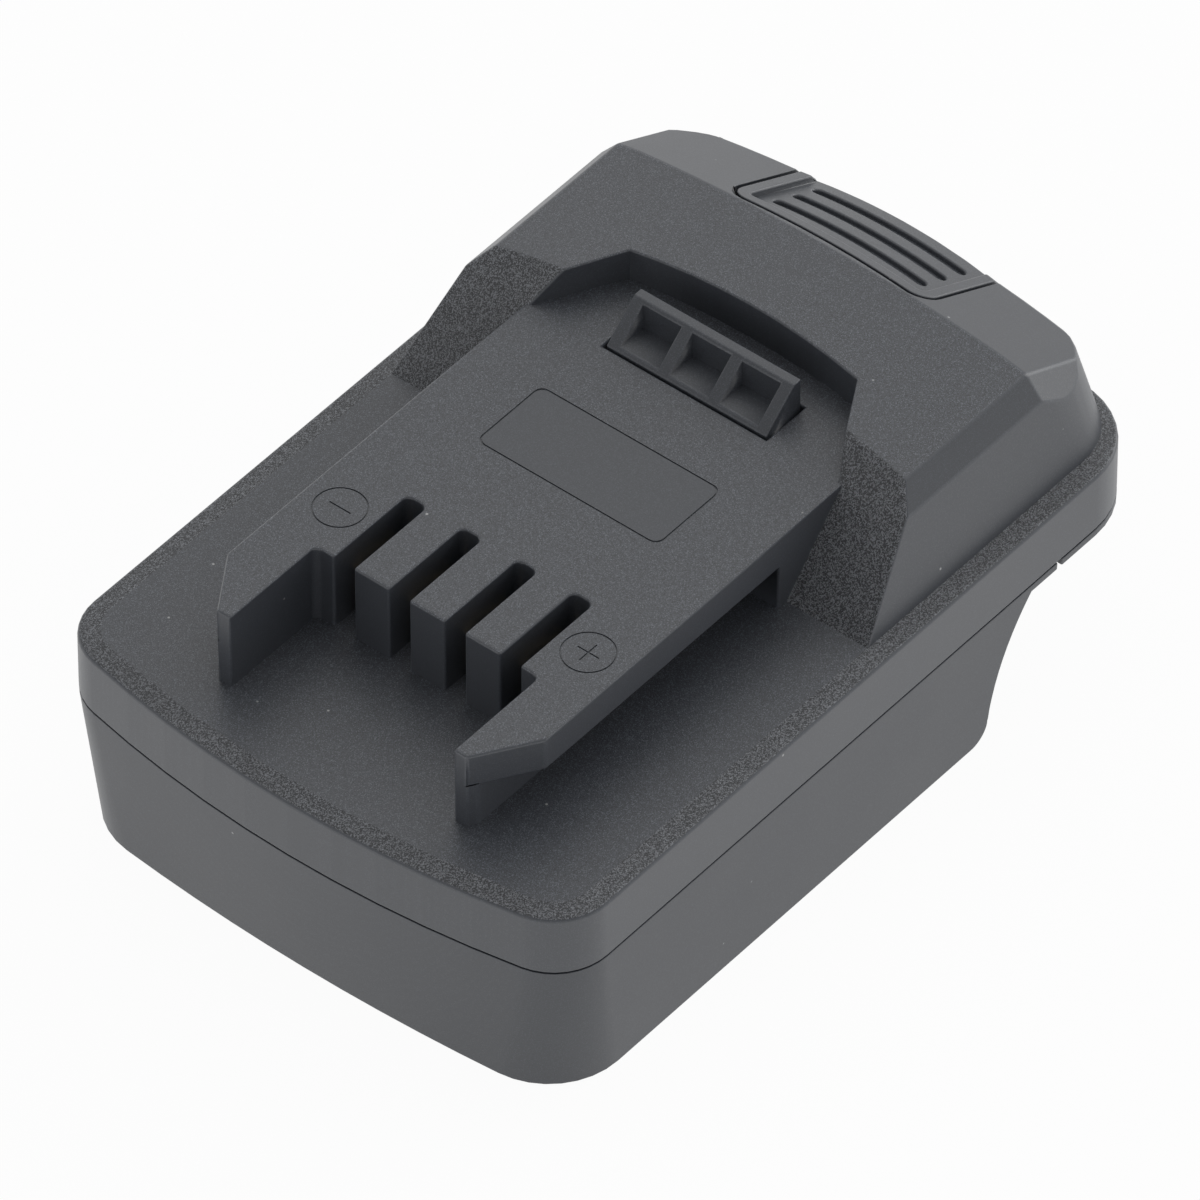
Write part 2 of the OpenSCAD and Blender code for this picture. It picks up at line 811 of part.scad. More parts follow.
// Posts that stand on the socket ceiling, inside the case
module shell_posts() {
    small_boss_r = small_r + 1.3;
    pair()
        translate([post_x, post_y, shell_h - eps])
            cylinder(r = post_r, h = plate_z - shell_h + 1);
    at_board_screws()
        translate([0, 0, shell_h - eps])
            cylinder(r = small_boss_r, h = board_lift + eps);
    pair()
        translate([board_w / 2 - small_boss_r, board_y + small_boss_r, shell_h - eps])
            cylinder(r = small_boss_r, h = board_lift + eps);
    at_block_screws()
        translate([0, 0, shell_h - eps])
            cylinder(r = small_boss_r, h = tab_h);
    at_case_screws()
        translate([0, 0, shell_h - eps])
            cylinder(r = screw_head_r + boss_wall, h = screw_pad_z - shell_h + eps);
}

// Places its children at the three blades
module at_blades() {
    for (x = [-blade_x, 0, blade_x])
        translate([x, 0, 0])
            children();
}

// Places its children at the two screws of the circuit board
module at_board_screws() {
    pair()
        translate([board_w / 2 - small_head_r - 1, board_y + board_l - small_head_r - 1, 0])
            children();
}

// Places its children at the two screws of the terminal block
module at_block_screws() {
    pair()
        translate([blade_x / 2, block_y + block_l / 2, 0])
            children();
}

// Places its children at the two screws that hold the button
module at_button_screws() {
    pair()
        translate([post_x, button_front_y + button_wall + small_head_r, 0])
            children();
}

// Screw with its head under the seat at the local origin and its shank along +Z
module screw(r, head_r, head_h, shank) {
    cross_d = head_h / 2;
    color(steel)
        difference() {
            union() {
                cylinder(r = r, h = shank);
                translate([0, 0, -head_h])
                    cylinder(r = head_r, h = head_h);
            }
            for (a = [0, 90])
                rotate(a)
                    translate([-head_r * 0.6, -cross_w / 2, -head_h - 1])
                        cube([head_r * 1.2, cross_w, cross_d + 1]);
        }
}

module case_screws() {
    at_case_screws()
        translate([0, 0, screw_seat_z])
            screw(screw_r, screw_head_r, screw_head_h, ceiling_t + screw_bite);
}

// Catch and its plate under the rail
module latch_slider() {
    pocket_w = (catch_w - (window_count + 1) * window_rib) / window_count;
    pocket_floor = rail_z + 0.4;
    color(charcoal)
        difference() {
            union() {
                block([-plate_w / 2, catch_front_y, plate_z - plate_t],
                    [plate_w / 2, crease_y - 2, plate_z]);
                block([-tongue_w / 2, crease_y - 3, plate_z - plate_t],
                    [tongue_w / 2, plate_rear_y, plate_z]);
                across(catch_w)
                    polygon([
                        [catch_front_y, plate_z - eps], [catch_rear_y, plate_z - eps],
                        [catch_rear_y, rail_z + catch_h], [catch_rear_y - catch_top, rail_z + catch_h],
                        [catch_front_y, rail_z]
                    ]);
            }
            for (i = [0 : window_count - 1])
                translate([-catch_w / 2 + window_rib + i * (pocket_w + window_rib), 0, 0])
                    block([0, catch_front_y - 1, pocket_floor],
                        [pocket_w, catch_rear_y - catch_top - 0.4, rail_z + catch_h + 1]);
            pair()
                translate([post_x, post_y, plate_z - plate_t - 1])
                    cylinder(r = post_r + post_gap, h = plate_t + 2);
            at_button_screws()
                translate([0, 0, plate_z - plate_t - 1])
                    cylinder(r = small_r + screw_gap, h = plate_t + 2);
        }
}

// Dished button with cross grooves, flush with the rear slope
module release_button() {
    skirt_z = deck_z - wall;
    color(dark_charcoal)
        difference() {
            union() {
                difference() {
                    intersection() {
                        button_form();
                        block([-far, 0, skirt_z], [far, far, far]);
                    }
                    intersection() {
                        hump_form(button_wall + dish_d);
                        block([-button_w / 2 + button_wall, button_front_y + button_wall, 0],
                            [button_w / 2 - button_wall, rear_y - rear_ledge - 2 * button_wall, far]);
                    }
                    difference() {
                        button_prism(button_rim);
                        dish_floor(0);
                    }
                    slope_grooves();
                    block([-tongue_w / 2 - slide_gap, 0, plate_z - plate_t - slide_gap],
                        [tongue_w / 2 + slide_gap, plate_rear_y + slide_gap, plate_z]);
                }
                intersection() {
                    at_button_screws()
                        translate([0, 0, plate_z])
                            cylinder(r = small_head_r + 0.4, h = hump_h);
                    hump_form(dish_d + button_wall / 2);
                }
            }
            at_button_screws()
                translate([0, 0, plate_z - 1])
                    cylinder(r = small_r + screw_gap, h = 4);
        }
}

// Everything under the crowned floor of the dish, down the slope, sunk by depth
module dish_floor(depth) {
    rise = dish_crown_r - sqrt(pow(dish_crown_r, 2) - pow(button_w / 2, 2));
    translate([0, crease_y, hump_z])
        rotate([-slope_a, 0, 0])
            translate([0, -far / 2, rise - dish_d - depth - dish_crown_r])
                rotate([-90, 0, 0])
                    cylinder(r = dish_crown_r, h = far, $fn = 180);
}

// Grooves with round ends across the dish of the button, with floors that follow its crown
module slope_grooves() {
    r = groove_w / 2;
    x = groove_l / 2 - r;
    low = dish_d + 2 * groove_d;
    difference() {
        translate([0, crease_y, hump_z])
            rotate([-slope_a, 0, 0])
                for (i = [0 : groove_count - 1])
                    translate([0, groove_first + i * groove_pitch, -low])
                        linear_extrude(2 * low)
                            polygon(concat(arc(x, 0, r, -90, 90, 8), arc(-x, 0, r, 90, 270, 8)));
        dish_floor(groove_d);
    }
}

module button_screws() {
    at_button_screws()
        translate([0, 0, plate_z - plate_t])
            screw(small_r, small_head_r, small_head_h, plate_t + 2.5);
}

// Points of the coil of a latch spring, eight rings to a turn
spring_rings = spring_turns * 8;
spring_low = shell_h + spring_wire / 2 + fit_gap;
spring_high = plate_z - plate_t - spring_wire / 2 - fit_gap;
function spring_point(i) =
    let (a = i * 45, z = spring_low + (spring_high - spring_low) * i / spring_rings)
    [spring_d / 2 * cos(a), spring_d / 2 * sin(a), z];
function spring_ring(i) =
    let (a = i * 45, c = spring_point(i))
    [for (k = [0 : 5]) c + spring_wire / 2 * [cos(k * 60) * cos(a), cos(k * 60) * sin(a), sin(k * 60)]];

// Least gap between neighbouring turns, measured from wire to wire
spring_self_gap = min([for (i = [0 : spring_rings - 8])
    norm(spring_point(i + 8) - spring_point(i))]) - spring_wire;
echo(spring_self_gap = spring_self_gap);

// Tube through rings of points, six or more points to a ring
module tube(rings) {
    m = len(rings[0]);
    last = len(rings) - 1;
    polyhedron(
        points = [for (r = rings) for (p = r) p],
        faces = concat(
            [[for (k = [0 : m - 1]) m - 1 - k]],
            [[for (k = [0 : m - 1]) last * m + k]],
            [for (i = [0 : last - 1]) for (k = [0 : m - 1])
                [i * m + k, i * m + (k + 1) % m, (i + 1) * m + (k + 1) % m]],
            [for (i = [0 : last - 1]) for (k = [0 : m - 1])
                [i * m + k, (i + 1) * m + (k + 1) % m, (i + 1) * m + k]]
        )
    );
}

module latch_spring(side) {
    color(steel)
        translate([side * post_x, post_y, 0])
            tube([for (i = [0 : spring_rings]) spring_ring(i)]);
}

module latch_spring_left() {
    latch_spring(-1);
}

module latch_spring_right() {
    latch_spring(1);
}

// Insulating block between the board and the deck
module contact_carrier() {
    color(nylon)
        difference() {
            block([-board_w / 2, carrier_y, board_top_z], [board_w / 2, carrier_y + carrier_l, deck_under_z - fit_gap]);
            at_slots()
                fork_slot(fit_gap);
        }
}

// Way of a fork's tail through the carrier and the board
module fork_slot(gap) {
    block([-tail_w / 2 - gap, fork_y - gap, board_z - 1],
        [tail_w / 2 + gap, fork_y + fork_t + gap, deck_under_z]);
}

// Fork clip: a bent strip, open to the front, with a tail down through the board
module fork_clip() {
    out_x = slot_w / 2 - 2 * fit_gap;
    touch_y = fork_y - fork_l * 0.65;
    lip_y = fork_y - fork_l;
    touch_x = fork_gap / 2;
    lip_x = touch_x + fork_t;
    foot_z = deck_under_z + fit_gap;
    translate([0, 0, foot_z])
        linear_extrude(wall - fit_gap + fork_h) {
            translate([-out_x, fork_y])
                square([2 * out_x, fork_t]);
            for (s = [-1, 1])
                polygon([
                    [s * out_x, fork_y + fork_t], [s * out_x, fork_y - 1], [s * (touch_x + fork_t), touch_y],
                    [s * (lip_x + fork_t), lip_y], [s * lip_x, lip_y], [s * touch_x, touch_y],
                    [s * (out_x - fork_t), fork_y - 1], [s * (out_x - fork_t), fork_y + fork_t]
                ]);
        }
    block([-tail_w / 2, fork_y, board_z - 0.8], [tail_w / 2, fork_y + fork_t, foot_z + eps]);
}

module contact_at(place) {
    color(brass)
        translate([place * slot_pitch, 0, 0])
            fork_clip();
}

module contact_negative() {
    contact_at(-1.5);
}

module contact_signal_left() {
    contact_at(-0.5);
}

module contact_signal_right() {
    contact_at(0.5);
}

module contact_positive() {
    contact_at(1.5);
}

module circuit_board() {
    color("darkgreen")
        difference() {
            block([-board_w / 2, board_y, board_z], [board_w / 2, board_y + board_l, board_top_z]);
            at_slots()
                fork_slot(fit_gap);
            at_board_screws()
                translate([0, 0, board_z - 1])
                    cylinder(r = small_r + screw_gap, h = board_t + 2);
        }
}

module board_screws() {
    at_board_screws()
        translate([0, 0, board_top_z])
            mirror([0, 0, 1])
                screw(small_r, small_head_r, small_head_h, board_t + board_lift - 0.3);
}

// Free part of the board behind the contact carrier
part_y = carrier_y + carrier_l;

module power_transistor() {
    chip = [6.6, 6.1, 2.3];
    color(nylon)
        translate([-chip.x - 1, part_y + 3, board_top_z])
            cube(chip);
}

module chip_resistors() {
    chip = [3.2, 1.6, 0.6];
    color("dimgray")
        for (i = [0 : 2])
            translate([2.5, part_y + 2.5 + i * 3, board_top_z])
                cube(chip);
}

// Insulating block that carries the blades under the socket ceiling
module terminal_block() {
    color(nylon)
        difference() {
            block([-block_w / 2, block_y, ceiling_z - block_h], [block_w / 2, block_y + block_l, ceiling_z]);
            at_blades()
                blade_room(fit_gap);
            at_block_screws()
                translate([0, 0, ceiling_z - block_h - 1]) {
                    cylinder(r = small_r + screw_gap, h = block_h + 2);
                    cylinder(r = small_head_r + fit_gap, h = small_head_h + 1.3);
                }
        }
}

// Side view of a blade, grown by gap: a tongue towards the rear with a tab up through the ceiling
module blade_room(gap) {
    across(blade_t + 2 * gap)
        polygon([
            [tab_y - gap, blade_z - gap], [block_y + block_l + blade_l, blade_z - gap],
            [block_y + block_l + blade_l, blade_z + blade_h + gap], [tab_y + tab_l + gap, blade_z + blade_h + gap],
            [tab_y + tab_l + gap, shell_h + tab_h], [tab_y - gap, shell_h + tab_h]
        ]);
}

module blade_positive() {
    color(brass)
        translate([blade_x, 0, 0])
            blade_room(0);
}

module blade_negative() {
    color(brass)
        translate([-blade_x, 0, 0])
            blade_room(0);
}

module blade_signal() {
    color(brass)
        blade_room(0);
}

module terminal_block_screws() {
    at_block_screws()
        translate([0, 0, ceiling_z - block_h + small_head_h + 0.3])
            screw(small_r, small_head_r, small_head_h, block_h - small_head_h + ceiling_t);
}

// Lead that rises from the top of a blade's tab, runs under the deck and drops to the board's front strip
lead_top_z = deck_under_z - wire_r - fit_gap;
lead_end_z = board_top_z + fit_gap / 2;
lead_bend_r = lead_top_z - lead_end_z;
lead_start_y = tab_y + tab_l / 2;
lead_end_y = board_y + board_strip / 2;
lead_bend_n = 6;

// Ring of the lead about a point at y and z, square to a run that leans by angle a from upright
function lead_ring(y, z, a) =
    [for (k = [0 : 7]) [
        wire_r * sin(k * 45),
        y + wire_r * cos(k * 45) * cos(a),
        z - wire_r * cos(k * 45) * sin(a)
    ]];

// Ring on the bend about the middle at y and z, where the run leans by angle a
function bend_ring(y, z, a) =
    lead_ring(y - lead_bend_r * cos(a), z + lead_bend_r * sin(a), a);

module lead(x) {
    bend_z = lead_top_z - lead_bend_r;
    translate([x, 0, 0])
        tube(concat(
            [lead_ring(lead_start_y, shell_h + tab_h + fit_gap / 2, 0)],
            [for (i = [0 : lead_bend_n])
                bend_ring(lead_start_y + lead_bend_r, bend_z, i * 90 / lead_bend_n)],
            [for (i = [0 : lead_bend_n])
                bend_ring(lead_end_y - lead_bend_r, bend_z, 90 + i * 90 / lead_bend_n)]
        ));
}

module wire_positive() {
    color("firebrick")
        lead(blade_x);
}

module wire_negative() {
    color("black")
        lead(-blade_x);
}

module wire_signal() {
    color("gold")
        lead(0);
}

top_cover();
bottom_shell();
case_screws();
latch_slider();
release_button();
button_screws();
latch_spring_left();
latch_spring_right();
contact_carrier();
contact_positive();
contact_negative();
contact_signal_left();
contact_signal_right();
circuit_board();
board_screws();
power_transistor();
chip_resistors();
terminal_block();
terminal_block_screws();
blade_positive();
blade_negative();
blade_signal();
wire_positive();
wire_negative();
wire_signal();
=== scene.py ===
"""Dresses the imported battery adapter: rounded and grained mouldings, the catch, springs, leads and metal."""
from math import cos, radians, sin

import bmesh
import bpy
import numpy as np
from mathutils import Matrix, Vector
from mathutils.bvhtree import BVHTree


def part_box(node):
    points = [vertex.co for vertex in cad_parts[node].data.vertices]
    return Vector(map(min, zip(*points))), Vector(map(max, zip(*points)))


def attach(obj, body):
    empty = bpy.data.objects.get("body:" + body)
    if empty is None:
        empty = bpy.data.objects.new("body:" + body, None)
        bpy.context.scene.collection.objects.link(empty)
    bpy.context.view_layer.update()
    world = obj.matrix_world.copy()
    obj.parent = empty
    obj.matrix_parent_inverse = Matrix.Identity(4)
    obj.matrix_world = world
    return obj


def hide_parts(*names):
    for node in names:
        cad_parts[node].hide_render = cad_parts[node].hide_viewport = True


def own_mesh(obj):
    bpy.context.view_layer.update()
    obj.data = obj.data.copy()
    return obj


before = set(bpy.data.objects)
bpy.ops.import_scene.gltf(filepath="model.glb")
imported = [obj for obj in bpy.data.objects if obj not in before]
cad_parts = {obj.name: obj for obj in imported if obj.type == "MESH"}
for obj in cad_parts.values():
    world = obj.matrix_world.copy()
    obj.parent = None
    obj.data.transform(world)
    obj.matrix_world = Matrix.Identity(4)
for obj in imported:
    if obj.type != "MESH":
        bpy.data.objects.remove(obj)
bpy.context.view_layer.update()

bl_info = {
    "name": "Battery adapter",
    "version": (1, 0, 0),
    "blender": (4, 5, 0),
    "location": "View3D > Sidebar > Adapter",
    "description": "Mouldings, latch, contacts and leads of a tool battery adapter",
    "category": "Add Mesh",
}

MM = 0.001

# Levels of the mouldings in mm, counted from the parting line
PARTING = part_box("top_cover")[0][2] / MM
SKIRT_TOP = PARTING + 8.6
DECK = PARTING + 9.0
FLANGE = DECK + 6.5
RAIL = DECK + 11.4

# Places on the mouldings in mm, with x counted outwards from the middle
TIP_Y = -48.0
WING_Y = 2.0
CREASE_Y = 40.3
NOTCH_X = 15.6
PRONG_X = 18.9
RING_X, RING_Y, RING_REACH = 18.8, -25.9, 3.8
FIELD_X, FIELD_FRONT_Y, FIELD_REAR_Y = 13.8, -7.2, 4.8

# Lamps and camera in metres, the sensor in mm
OVERHEAD_PLACE, OVERHEAD_SIZE = (-0.45, 0.9, 1.6), 2.6
REAR_PLACE, REAR_AIM, REAR_SIZE = (0.45, 1.5, 0.6), (0.0, 0.0, 0.03), 1.0
AIM_Y = 0.002
SENSOR = 36.0
FLOOR_HALF = 3.0
FLOOR_WHITE = 0.955


# Shader nodes
class Finish:
    """A material and short calls that add and link its nodes."""

    def __init__(self, name, metallic=0.0, specular=0.5):
        self.material = bpy.data.materials.new(name)
        self.material.use_nodes = True
        self.nodes = self.material.node_tree.nodes
        self.links = self.material.node_tree.links
        self.shader = self.nodes["Principled BSDF"]
        self.shader.inputs["Metallic"].default_value = metallic
        self.shader.inputs["Specular IOR Level"].default_value = specular
        self.place = self.add("ShaderNodeTexCoord").outputs["Object"]

    def add(self, kind, **settings):
        node = self.nodes.new(kind)
        for key, value in settings.items():
            setattr(node, key, value)
        return node

    def put(self, socket, value):
        if isinstance(value, bpy.types.NodeSocket):
            self.links.new(value, socket)
        else:
            socket.default_value = value

    def noise(self, scale, detail=2.0, roughness=0.5, stretch=None):
        node = self.add("ShaderNodeTexNoise")
        place = self.place
        if stretch:
            turn = self.add("ShaderNodeMapping")
            turn.inputs["Scale"].default_value = stretch
            self.links.new(self.place, turn.inputs["Vector"])
            place = turn.outputs["Vector"]
        self.links.new(place, node.inputs["Vector"])
        node.inputs["Scale"].default_value = scale
        node.inputs["Detail"].default_value = detail
        node.inputs["Roughness"].default_value = roughness
        return node.outputs["Fac"]

    def cells(self, scale):
        node = self.add("ShaderNodeTexVoronoi")
        self.links.new(self.place, node.inputs["Vector"])
        node.inputs["Scale"].default_value = scale
        return node.outputs["Distance"], node.outputs["Color"]

    def span(self, value, low, high, to_low, to_high):
        node = self.add("ShaderNodeMapRange")
        self.put(node.inputs["Value"], value)
        for key, number in (("From Min", low), ("From Max", high), ("To Min", to_low), ("To Max", to_high)):
            self.put(node.inputs[key], number)
        return node.outputs["Result"]

    def sum(self, kind, a, b):
        node = self.add("ShaderNodeMath", operation=kind)
        self.put(node.inputs[0], a)
        self.put(node.inputs[1], b)
        return node.outputs["Value"]

    def blend(self, share, a, b):
        return self.sum("ADD", a, self.sum("MULTIPLY", share, self.sum("SUBTRACT", b, a)))

    def times(self, tone, level):
        node = self.add("ShaderNodeVectorMath", operation="SCALE")
        self.put(node.inputs["Vector"], tone)
        self.put(node.inputs["Scale"], level)
        return node.outputs["Vector"]

    def mix(self, share, a, b):
        node = self.add("ShaderNodeMix", data_type="RGBA")
        for key, value in (("Factor_Float", share), ("A_Color", a), ("B_Color", b)):
            socket = next(s for s in node.inputs if s.identifier == key)
            self.put(socket, value)
        return next(s for s in node.outputs if s.identifier == "Result_Color")

    def own(self, name):
        return self.add("ShaderNodeAttribute", attribute_name=name).outputs["Fac"]

    def bump(self, height, distance, strength):
        node = self.add("ShaderNodeBump")
        self.links.new(height, node.inputs["Height"])
        node.inputs["Distance"].default_value = distance
        self.put(node.inputs["Strength"], strength)
        self.links.new(node.outputs["Normal"], self.shader.inputs["Normal"])

    def finish(self, colour, roughness):
        self.put(self.shader.inputs["Base Color"], colour)
        self.put(self.shader.inputs["Roughness"], roughness)
        return self.material


def shade(colour, factor):
    """A colour times a factor, as four numbers."""
    return (*(min(1.0, c * factor) for c in colour[:3]), 1.0)


def moulded_plastic(name, colour, look, painted_light_scale=1.0, rough=0.38, sheen=1.0):
    """Charcoal moulded plastic: coarse grain by the face attribute grain, its peaks painted pale as highlights and
    its pits painted dark as shade; fine grain with painted glints by a second face attribute; mottle and dust.
    """
    f = Finish(name, specular=look.sheen * sheen)
    grain = f.own("grain")
    fine_grain_and_glint = f.own("fine_grain_and_glint")
    dome, pebble = f.cells(1.0 / look.grain_size)
    pebble = f.span(pebble, 0.42, 0.72, 0.0, 1.0)
    fine = f.noise(1.0 / look.fine_size, 1.0, 0.5)
    cloud = f.noise(26.0, 3.0, 0.55)
    height = f.sum("MULTIPLY", f.sum("SUBTRACT", pebble, dome), grain)
    height = f.sum("ADD", height, f.sum("MULTIPLY", fine, f.span(fine_grain_and_glint, 0.0, 1.0, 0.0, 0.6)))
    f.bump(height, look.grain_height, 1.0)
    # Painted glints: sparse cells of the fine grain are brightened in the colour, as highlights.
    middle, pick = f.cells(0.8 / look.fine_size)
    painted_glint = f.sum("MULTIPLY", f.span(pick, 0.58, 0.66, 0.0, 1.0), f.span(middle, 0.55, 0.3, 0.0, 1.0))
    # Painted shade: the coarse grain is darkened in the colour, as if its pits were in shade.
    level = f.blend(grain, 1.0, look.pit_shade)
    level = f.sum("MULTIPLY", level, f.blend(fine_grain_and_glint, 1.0, f.span(fine, 0.34, 0.66, 0.5, 1.5)))
    level = f.sum("ADD", level, f.sum("MULTIPLY", f.sum("MULTIPLY", painted_glint, fine_grain_and_glint), look.painted_glint))
    spot, chosen = f.cells(210.0)
    dust = f.sum("MULTIPLY", f.span(spot, 0.045, 0.02, 0.0, 1.0), f.span(chosen, 0.62, 0.66, 0.0, look.dust))
    # The mottled tone is scaled by the given factor: above 1 on the rounded edges, a painted highlight, and below 1
    # on the lower shell, painted shade.
    tone = f.times(f.mix(cloud, shade(colour, 0.93 * painted_light_scale), shade(colour, 1.07 * painted_light_scale)), level)
    # Painted highlight: the raised cells of the coarse grain are painted pale.
    tone = f.mix(f.sum("MULTIPLY", pebble, grain), tone, shade(look.peak_highlight, 1.0))
    tone = f.mix(dust, tone, shade((0.6, 0.6, 0.6), 1.0))
    gloss = f.sum("ADD", f.span(cloud, 0.3, 0.7, rough - 0.03, rough + 0.03), f.sum("MULTIPLY", grain, 0.12))
    return f.finish(tone, gloss)


def case_finishes(look):
    """The finish of both mouldings and that of their rounded edges, made once; the rounded edges are rubbed smoother
    and painted lighter as a highlight.
    """
    kept = [bpy.data.materials.get(name) for name in ("grained_case", "rubbed_highlit_case")]
    return [kept[0] or moulded_plastic("grained_case", look.case_colour, look),
            # The rounded edges are rubbed smoother and their colour is painted lighter, as a highlight.
            kept[1] or moulded_plastic("rubbed_highlit_case", look.case_colour, look, look.edge_highlight_lift, 0.36)]


def drawn_metal(name, colour, scale, stretch, rough):
    """Metal with fine drawn lines, a slight tarnish and uneven gloss."""
    f = Finish(name, metallic=1.0)
    lines = f.noise(scale, 3.0, 0.6, stretch)
    tarnish = f.noise(240.0, 4.0, 0.6)
    f.bump(lines, 0.00001, 0.35)
    tone = f.mix(f.span(tarnish, 0.35, 0.75, 0.0, 1.0), shade(colour, 1.0), shade(colour, 0.72))
    return f.finish(tone, f.span(lines, 0.3, 0.7, rough - 0.08, rough + 0.1))


def plain_moulding(name, colour, rough, scale=2600.0):
    """Insulating plastic, chip bodies and lead jackets: a faint grain, mottle and uneven gloss."""
    f = Finish(name)
    grain = f.noise(scale, 2.0, 0.6)
    cloud = f.noise(160.0, 3.0, 0.6)
    f.bump(grain, 0.00002, 0.4)
    tone = f.mix(cloud, shade(colour, 0.8), shade(colour, 1.3))
    return f.finish(tone, f.span(grain, 0.3, 0.7, rough - 0.07, rough + 0.07))


def solder_mask(name, colour):
    """Green lacquered laminate with its weave showing faintly through."""
    f = Finish(name)
    warp = f.noise(900.0, 1.0, 0.4, (1.0, 0.12, 1.0))
    weft = f.noise(900.0, 1.0, 0.4, (0.12, 1.0, 1.0))
    weave = f.sum("MAXIMUM", warp, weft)
    f.bump(weave, 0.00002, 0.3)
    return f.finish(f.mix(f.span(weave, 0.4, 0.8, 0.0, 1.0), shade(colour, 0.7), shade(colour, 1.6)), 0.28)


# Meshes
def merged_copy(node, name, crowded=None, reach=0.0):
    """A copy of a CAD node as one skin: equal and crowded corners merged, triangles of one plane joined."""
    work = bmesh.new()
    work.from_mesh(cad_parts[node].data)
    bmesh.ops.remove_doubles(work, verts=work.verts, dist=2e-6)
    if crowded:
        work.verts.ensure_lookup_table()
        place = np.array([v.co for v in work.verts]) / MM
        close = [work.verts[i] for i in np.flatnonzero(crowded(np.abs(place[:, 0]), place[:, 1], place[:, 2]))]
        bmesh.ops.remove_doubles(work, verts=close, dist=reach * MM)
    bmesh.ops.dissolve_degenerate(work, dist=2e-6, edges=work.edges)
    bmesh.ops.dissolve_limit(work, angle_limit=radians(0.35), verts=work.verts, edges=work.edges)
    mesh = bpy.data.meshes.new(name)
    work.to_mesh(mesh)
    work.free()
    obj = bpy.data.objects.new(name, mesh)
    bpy.context.scene.collection.objects.link(obj)
    return obj


def numbers(items, key, width, kind=float):
    """A whole property of a mesh collection as one array."""
    out = np.empty(len(items) * width, kind)
    items.foreach_get(key, out)
    return out.reshape(-1, width) if width > 1 else out


def edge_table(mesh):
    """Arrays on all edges that join two faces: index, middle in mm, both normals and the bend in degrees.

    The bend is positive where the edge is convex.
    """
    co = numbers(mesh.vertices, "co", 3)
    ends = numbers(mesh.edges, "vertices", 2, np.int32)
    loop_edge = numbers(mesh.loops, "edge_index", 1, np.int32)
    loop_vert = numbers(mesh.loops, "vertex_index", 1, np.int32)
    face = np.repeat(np.arange(len(mesh.polygons)), numbers(mesh.polygons, "loop_total", 1, np.int32))
    normal = numbers(mesh.polygons, "normal", 3)
    order = np.argsort(loop_edge, kind="stable")
    count = np.bincount(loop_edge, minlength=len(ends))
    start = np.concatenate(([0], np.cumsum(count)[:-1]))
    index = np.flatnonzero(count == 2)
    first = order[start[index]]
    second = order[start[index] + 1]
    tail = loop_vert[first]
    run = co[ends[index].sum(1) - tail] - co[tail]
    run /= np.maximum(np.linalg.norm(run, axis=1), 1e-12)[:, None]
    na = normal[face[first]]
    nb = normal[face[second]]
    bend = np.degrees(np.arctan2((np.cross(na, nb) * run).sum(1), (na * nb).sum(1)))
    middle = co[ends[index]].mean(1) / MM
    return index, middle, na, nb, bend


def in_the_open(obj, middle, out):
    """True where some ray from just outside an edge gets away from the skin without going below the horizon."""
    skin = bmesh.new()
    skin.from_mesh(obj.data)
    tree = BVHTree.FromBMesh(skin)
    skin.free()
    rays = [
        Vector((cos(radians(a)) * cos(radians(e)), sin(radians(a)) * cos(radians(e)), sin(radians(e))))
        for e in (1.0, 30.0, 60.0, 89.0) for a in range(0, 360, 45)
    ]
    start = (middle + out * 0.03) * MM
    return np.array([any(tree.ray_cast(Vector(p), r)[0] is None for r in rays) for p in start])


def skin_finish(obj, index, width, sharp, main, edge, flat=None):
    """Rounds each edge by its own width in mm, keeps sharp edges and flat faces crisp, and finishes the rounds."""
    mesh = obj.data
    top = max(float(width.max()), 0.01)
    weight = np.zeros(len(mesh.edges), np.float32)
    weight[index] = width / top
    mesh.attributes.new("bevel_weight_edge", "FLOAT", "EDGE").data.foreach_set("value", weight)
    crisp = np.zeros(len(mesh.edges), bool)
    crisp[index] = sharp
    mesh.attributes.new("sharp_edge", "BOOLEAN", "EDGE").data.foreach_set("value", crisp)
    smooth = np.ones(len(mesh.polygons), bool) if flat is None else ~flat
    mesh.polygons.foreach_set("use_smooth", smooth)
    mesh.materials.append(main)
    mesh.materials.append(edge)
    bevel = obj.modifiers.new("Rounds", "BEVEL")
    bevel.limit_method = "WEIGHT"
    bevel.offset_type = "OFFSET"
    bevel.width = top * MM
    bevel.segments = 3
    bevel.profile = 0.5
    bevel.use_clamp_overlap = False
    bevel.material = 1
    bevel.miter_outer = "MITER_ARC"
    bevel.face_strength_mode = "FSTR_ALL"
    shading = obj.modifiers.new("Face shading", "WEIGHTED_NORMAL")
    shading.mode = "FACE_AREA"
    shading.weight = 100
    shading.keep_sharp = True
    shading.use_face_influence = True


def set_grain(obj, grain, fine_grain_and_glint):
    """Writes the share of coarse grain and that of fine grain with painted glints on each face."""
    for name, value in (("grain", grain), ("fine_grain_and_glint", fine_grain_and_glint)):
        value = np.broadcast_to(np.float32(value), len(obj.data.polygons)).astype(np.float32)
        obj.data.attributes.new(name, "FLOAT", "FACE").data.foreach_set("value", value)


